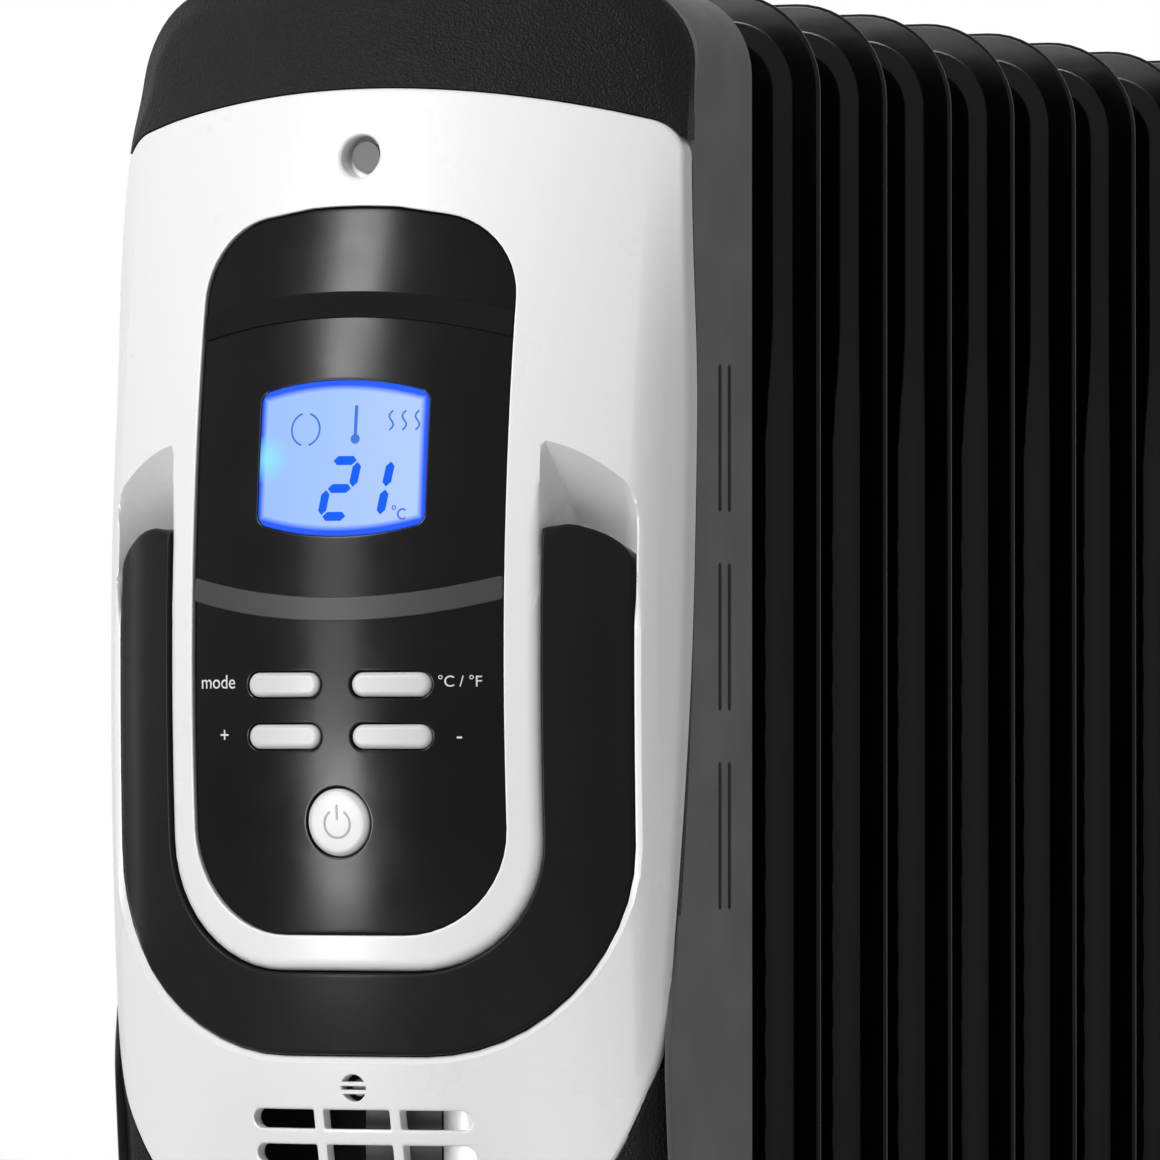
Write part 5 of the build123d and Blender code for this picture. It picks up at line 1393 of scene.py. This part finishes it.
def word_mesh(word, x, z, size):
    """A printed word on the panel, centred on a spot."""
    curve = bpy.data.curves.new("word", "FONT")
    curve.body = word
    curve.size = size * MM
    curve.align_x = "CENTER"
    curve.align_y = "CENTER"
    curve.extrude = PRINT_PROUD * MM
    mesh = made_plain(held(curve))
    for vertex in mesh.vertices:
        across, up, out = vertex.co
        vertex.co = (across + x * MM, PRINT_INSET * MM - out, up + z * MM)
    return mesh


LABELS = (
    ("mode", -33.0, 473.6, 4.6),
    ("\u00b0C / \u00b0F", 30.5, 473.6, 3.7),
    ("+", -31.2, 461.0, 5.0),
    ("-", 30.3, 461.0, 5.0),
)
print_white = satin_plastic("print_white", (0.75, 0.75, 0.75), 0.4, 0.5, 0.2)
words = joined("words", *[word_mesh(*label) for label in LABELS])
piece("panel_words", tidied(grown(words, bowed_front, print_white)), "button_grey", finish=print_white)

for name, (x, z) in BUTTON_SPOTS.items():
    reach = POWER_R if name == "power" else BUTTON_LENGTH / 2
    rise = POWER_R if name == "power" else BUTTON_HEIGHT / 2
    cap = flat_solid(
        [button_loop(name)],
        [edge_path(BUTTON_INSET, BUTTON_DEPTH, BUTTON_EDGE, steps=6, guard=0.5)],
        spread(x - reach, x + reach, 1.2),
        spread(z - rise, z + rise, 0.9),
    )
    button = f"button_{name}"
    bowed_piece(f"{button}_skin", "button_grey", cap, body=button, replaced=(button,))

SIGN_R = 3.3
SIGN_STROKE = 0.55
SIGN_GAP = 32
power_x, power_z = BUTTON_SPOTS["power"]
sign_lines = [
    arc_points(power_x, power_z - 0.3, SIGN_R, 90 + SIGN_GAP, 450 - SIGN_GAP, 40),
    [(power_x, power_z + 0.6), (power_x, power_z + 2.4), (power_x, power_z + 4.2)],
]
sign_prints = [print_solid(stroke_loop(line, SIGN_STROKE), BUTTON_INSET) for line in sign_lines]
sign_grey = satin_plastic("sign_grey", (0.36, 0.36, 0.36), 0.4, 0.5, 0.3)
bowed_piece("power_sign", "button_grey", *sign_prints, body="button_power", finish=sign_grey)

# Handle

HANDLE_EDGE = 0.9


def rounded_knuckles(mesh):
    """The arms' ends, drawn in to a round about the pivot."""
    middle_y = FIN_Y - PIVOT_DEPTH
    for vertex in mesh.vertices:
        rise = vertex.co.z / MM - PIVOT_Z
        back = vertex.co.y / MM - middle_y
        reach = sqrt(rise**2 + back**2)
        if rise > 0 and reach > KNUCKLE_R:
            vertex.co.z = (PIVOT_Z + rise * KNUCKLE_R / reach) * MM
            vertex.co.y = (middle_y + back * KNUCKLE_R / reach) * MM
    return mesh


def handle_sink(x, z):
    """The arms' faces lie a little deeper toward their outer edges."""
    return HANDLE_DROP * smooth((abs(x) - HANDLE_DROP_START) / HANDLE_DROP_RUN)


handle_solid = flat_solid(
    [handle_loop(0, HANDLE_TOP, 1.2, arm_end())],
    [edge_path(0, HANDLE_THICK, HANDLE_EDGE, HANDLE_EDGE, steps=5, guard=0.25)],
    spread(-66, 66, 2.4),
    with_fine(spread(387, 510, 2.4), 496, 510, 1.0),
    sink=handle_sink,
)
handle_mesh = grown(as_mesh("handle", handle_solid), bowed_front, finishes["handle_black"])
piece("handle_skin", tidied(rounded_knuckles(handle_mesh)), "handle_black", "handle", ("handle",))

# Oil fins

FIN_COUNT = 9
FIN_PITCH = 40.0
FIN_HALF = 78.0
FIN_TOP = 640.0
FIN_BOTTOM = 78.0
FIN_CORNER = 24.0
RIM_HALF = 0.85
RIM_FLANGE = 6.5
PRESS_RUN = 5.0
PRESS_LOW = 3.6
PRESS_HIGH = 7.2
CHANNEL_LOW = 156.0
CHANNEL_HIGH = 562.0
CHANNEL_RAMP = 36.0
CHANNEL_INNER = 21.0
CHANNEL_BLEND = 6.0


def channel_gain(x, z):
    """1 over the two deep upright channels of a fin, 0 round them."""
    rise = smooth((z - CHANNEL_LOW) / CHANNEL_RAMP) * smooth((CHANNEL_HIGH - z) / CHANNEL_RAMP)
    return rise * smooth((abs(x) - CHANNEL_INNER) / CHANNEL_BLEND)


def fin_solid():
    """A pressed fin: a thin rim, a flat flange, and halves that swell out round the oil."""
    rim = [(RIM_HALF * (1 - sin(a)), RIM_HALF * cos(a)) for a in spread(0, pi / 2, 0.4)]
    face = [(offset, height) for offset, height in rim[::-1]]
    face.append((RIM_FLANGE, RIM_HALF))
    for share in spread(0, 1, 0.125)[1:]:
        face.append((RIM_FLANGE + PRESS_RUN * share, RIM_HALF + (PRESS_LOW - RIM_HALF) * smooth(share)))
    section = [(offset, height) for offset, height in face[::-1]] + [(o, -h) for o, h in face[1:]]
    loop = box_loop(-FIN_HALF, FIN_HALF, FIN_BOTTOM, FIN_TOP, FIN_CORNER, 6.0)
    columns = with_fine(with_fine(spread(-66, 66, 5.0), 20.0, 28.0, 1.6), -28.0, -20.0, 1.6)
    rows = with_fine(with_fine(spread(90, 628, 12.0), 154.0, 194.0, 4.0), 524.0, 564.0, 4.0)
    points, faces = flat_solid([loop], [section], columns, rows)
    swollen = []
    for x, height, z in points:
        share = max(0.0, abs(height) - RIM_HALF) / (PRESS_LOW - RIM_HALF)
        gain = (PRESS_HIGH - PRESS_LOW) * share * channel_gain(x, z)
        swollen.append((x, FIN_Y + height + (gain if height > 0 else -gain), z))
    return swollen, faces


fin_mesh = tidied(as_mesh("fin", fin_solid()), 60)
fin_stack = grown(fin_mesh, row_along_y, finishes["fin_enamel"], count=FIN_COUNT, pitch=FIN_PITCH * MM)
fin_names = [f"fin_{k}" for k in range(1, FIN_COUNT + 1)]
piece("fin_stack_skin", fin_stack, "fin_enamel", replaced=fin_names)

# Camera, light and ground

VIEW_TURN = 25.0
VIEW_RISE = 0.967
VIEW_LENS = 349.4
VIEW_SPOT = (1.1667, -2.5857, 0.453)
FLOOR_HALF = 9.0
FLOOR_GLOW = 0.5
LAMP_AIM_Z = 0.48
AMBIENT = 0.2

scene.view_settings.view_transform = "Standard"

lens = bpy.data.cameras.new("photo_view")
lens.lens = VIEW_LENS
lens.sensor_width = 36.0
lens.clip_start = 0.05
camera = bpy.data.objects.new("photo_view", lens)
camera.location = VIEW_SPOT
camera.rotation_euler = (radians(90 + VIEW_RISE), 0, radians(VIEW_TURN))
scene.collection.objects.link(camera)
scene.camera = camera


def pale_rays(tree):
    """1 for the camera, reflections and glass, 0 for the light that falls on all else."""
    rays = tree.nodes.new("ShaderNodeLightPath").outputs
    seen = math_node(tree, "MAXIMUM", rays["Is Camera Ray"], rays["Is Transmission Ray"])
    return math_node(tree, "MAXIMUM", seen, rays["Is Glossy Ray"])


def studio_world(ambient):
    """White for the camera, reflections and glass; a dimmer light on all else."""
    world = bpy.data.worlds.new("studio")
    world.use_nodes = True
    tree = world.node_tree
    sky = tree.nodes["Background"]
    sky.inputs["Color"].default_value = (1, 1, 1, 1)
    strength = math_node(tree, "ADD", math_node(tree, "MULTIPLY", pale_rays(tree), 1.0 - ambient), ambient)
    tree.links.new(strength, sky.inputs["Strength"])
    return world


def softbox(name, turn, rise, distance, width, height, power, glossy=True, diffuse=True):
    """An area light that faces the middle of the control housing."""
    light = bpy.data.lights.new(name, "AREA")
    light.shape = "RECTANGLE"
    light.size = width
    light.size_y = height
    light.energy = power
    lamp = bpy.data.objects.new(name, light)
    turn, rise = radians(turn), radians(rise)
    away = Vector((sin(turn) * cos(rise), -cos(turn) * cos(rise), sin(rise)))
    lamp.location = Vector((0, BOW_Y * MM, LAMP_AIM_Z)) + away * distance
    lamp.rotation_euler = away.to_track_quat("Z", "Y").to_euler()
    lamp.visible_glossy = glossy
    lamp.visible_diffuse = diffuse
    lamp.visible_camera = False
    scene.collection.objects.link(lamp)


scene.world = studio_world(AMBIENT)
softbox("key", -12, 34, 2.2, 1.2, 1.2, 40, glossy=False)
softbox("strip", -25, 5, 2.0, 0.4, 1.6, 18, diffuse=False)
softbox("strip_low", -25, -9.5, 2.0, 0.4, 0.26, 16, diffuse=False)
softbox("strip_high", -25, 22, 2.0, 0.4, 0.5, 20, diffuse=False)

floor_mesh = bpy.data.meshes.new("floor")
floor_corners = [(x * FLOOR_HALF, y * FLOOR_HALF, 0) for x, y in ((-1, -1), (1, -1), (1, 1), (-1, 1))]
floor_mesh.from_pydata(floor_corners, [], [(0, 1, 2, 3)])
floor_finish = Finish("floor", (0.8, 0.8, 0.8), 0.6, 0.0)
floor_glow = math_node(floor_finish.tree, "MULTIPLY", pale_rays(floor_finish.tree), FLOOR_GLOW)
floor_finish.shader.inputs["Emission Color"].default_value = (1, 1, 1, 1)
floor_finish.tree.links.new(floor_glow, floor_finish.shader.inputs["Emission Strength"])
floor_mesh.materials.append(floor_finish.material)
floor = bpy.data.objects.new("floor", floor_mesh)
scene.collection.objects.link(floor)
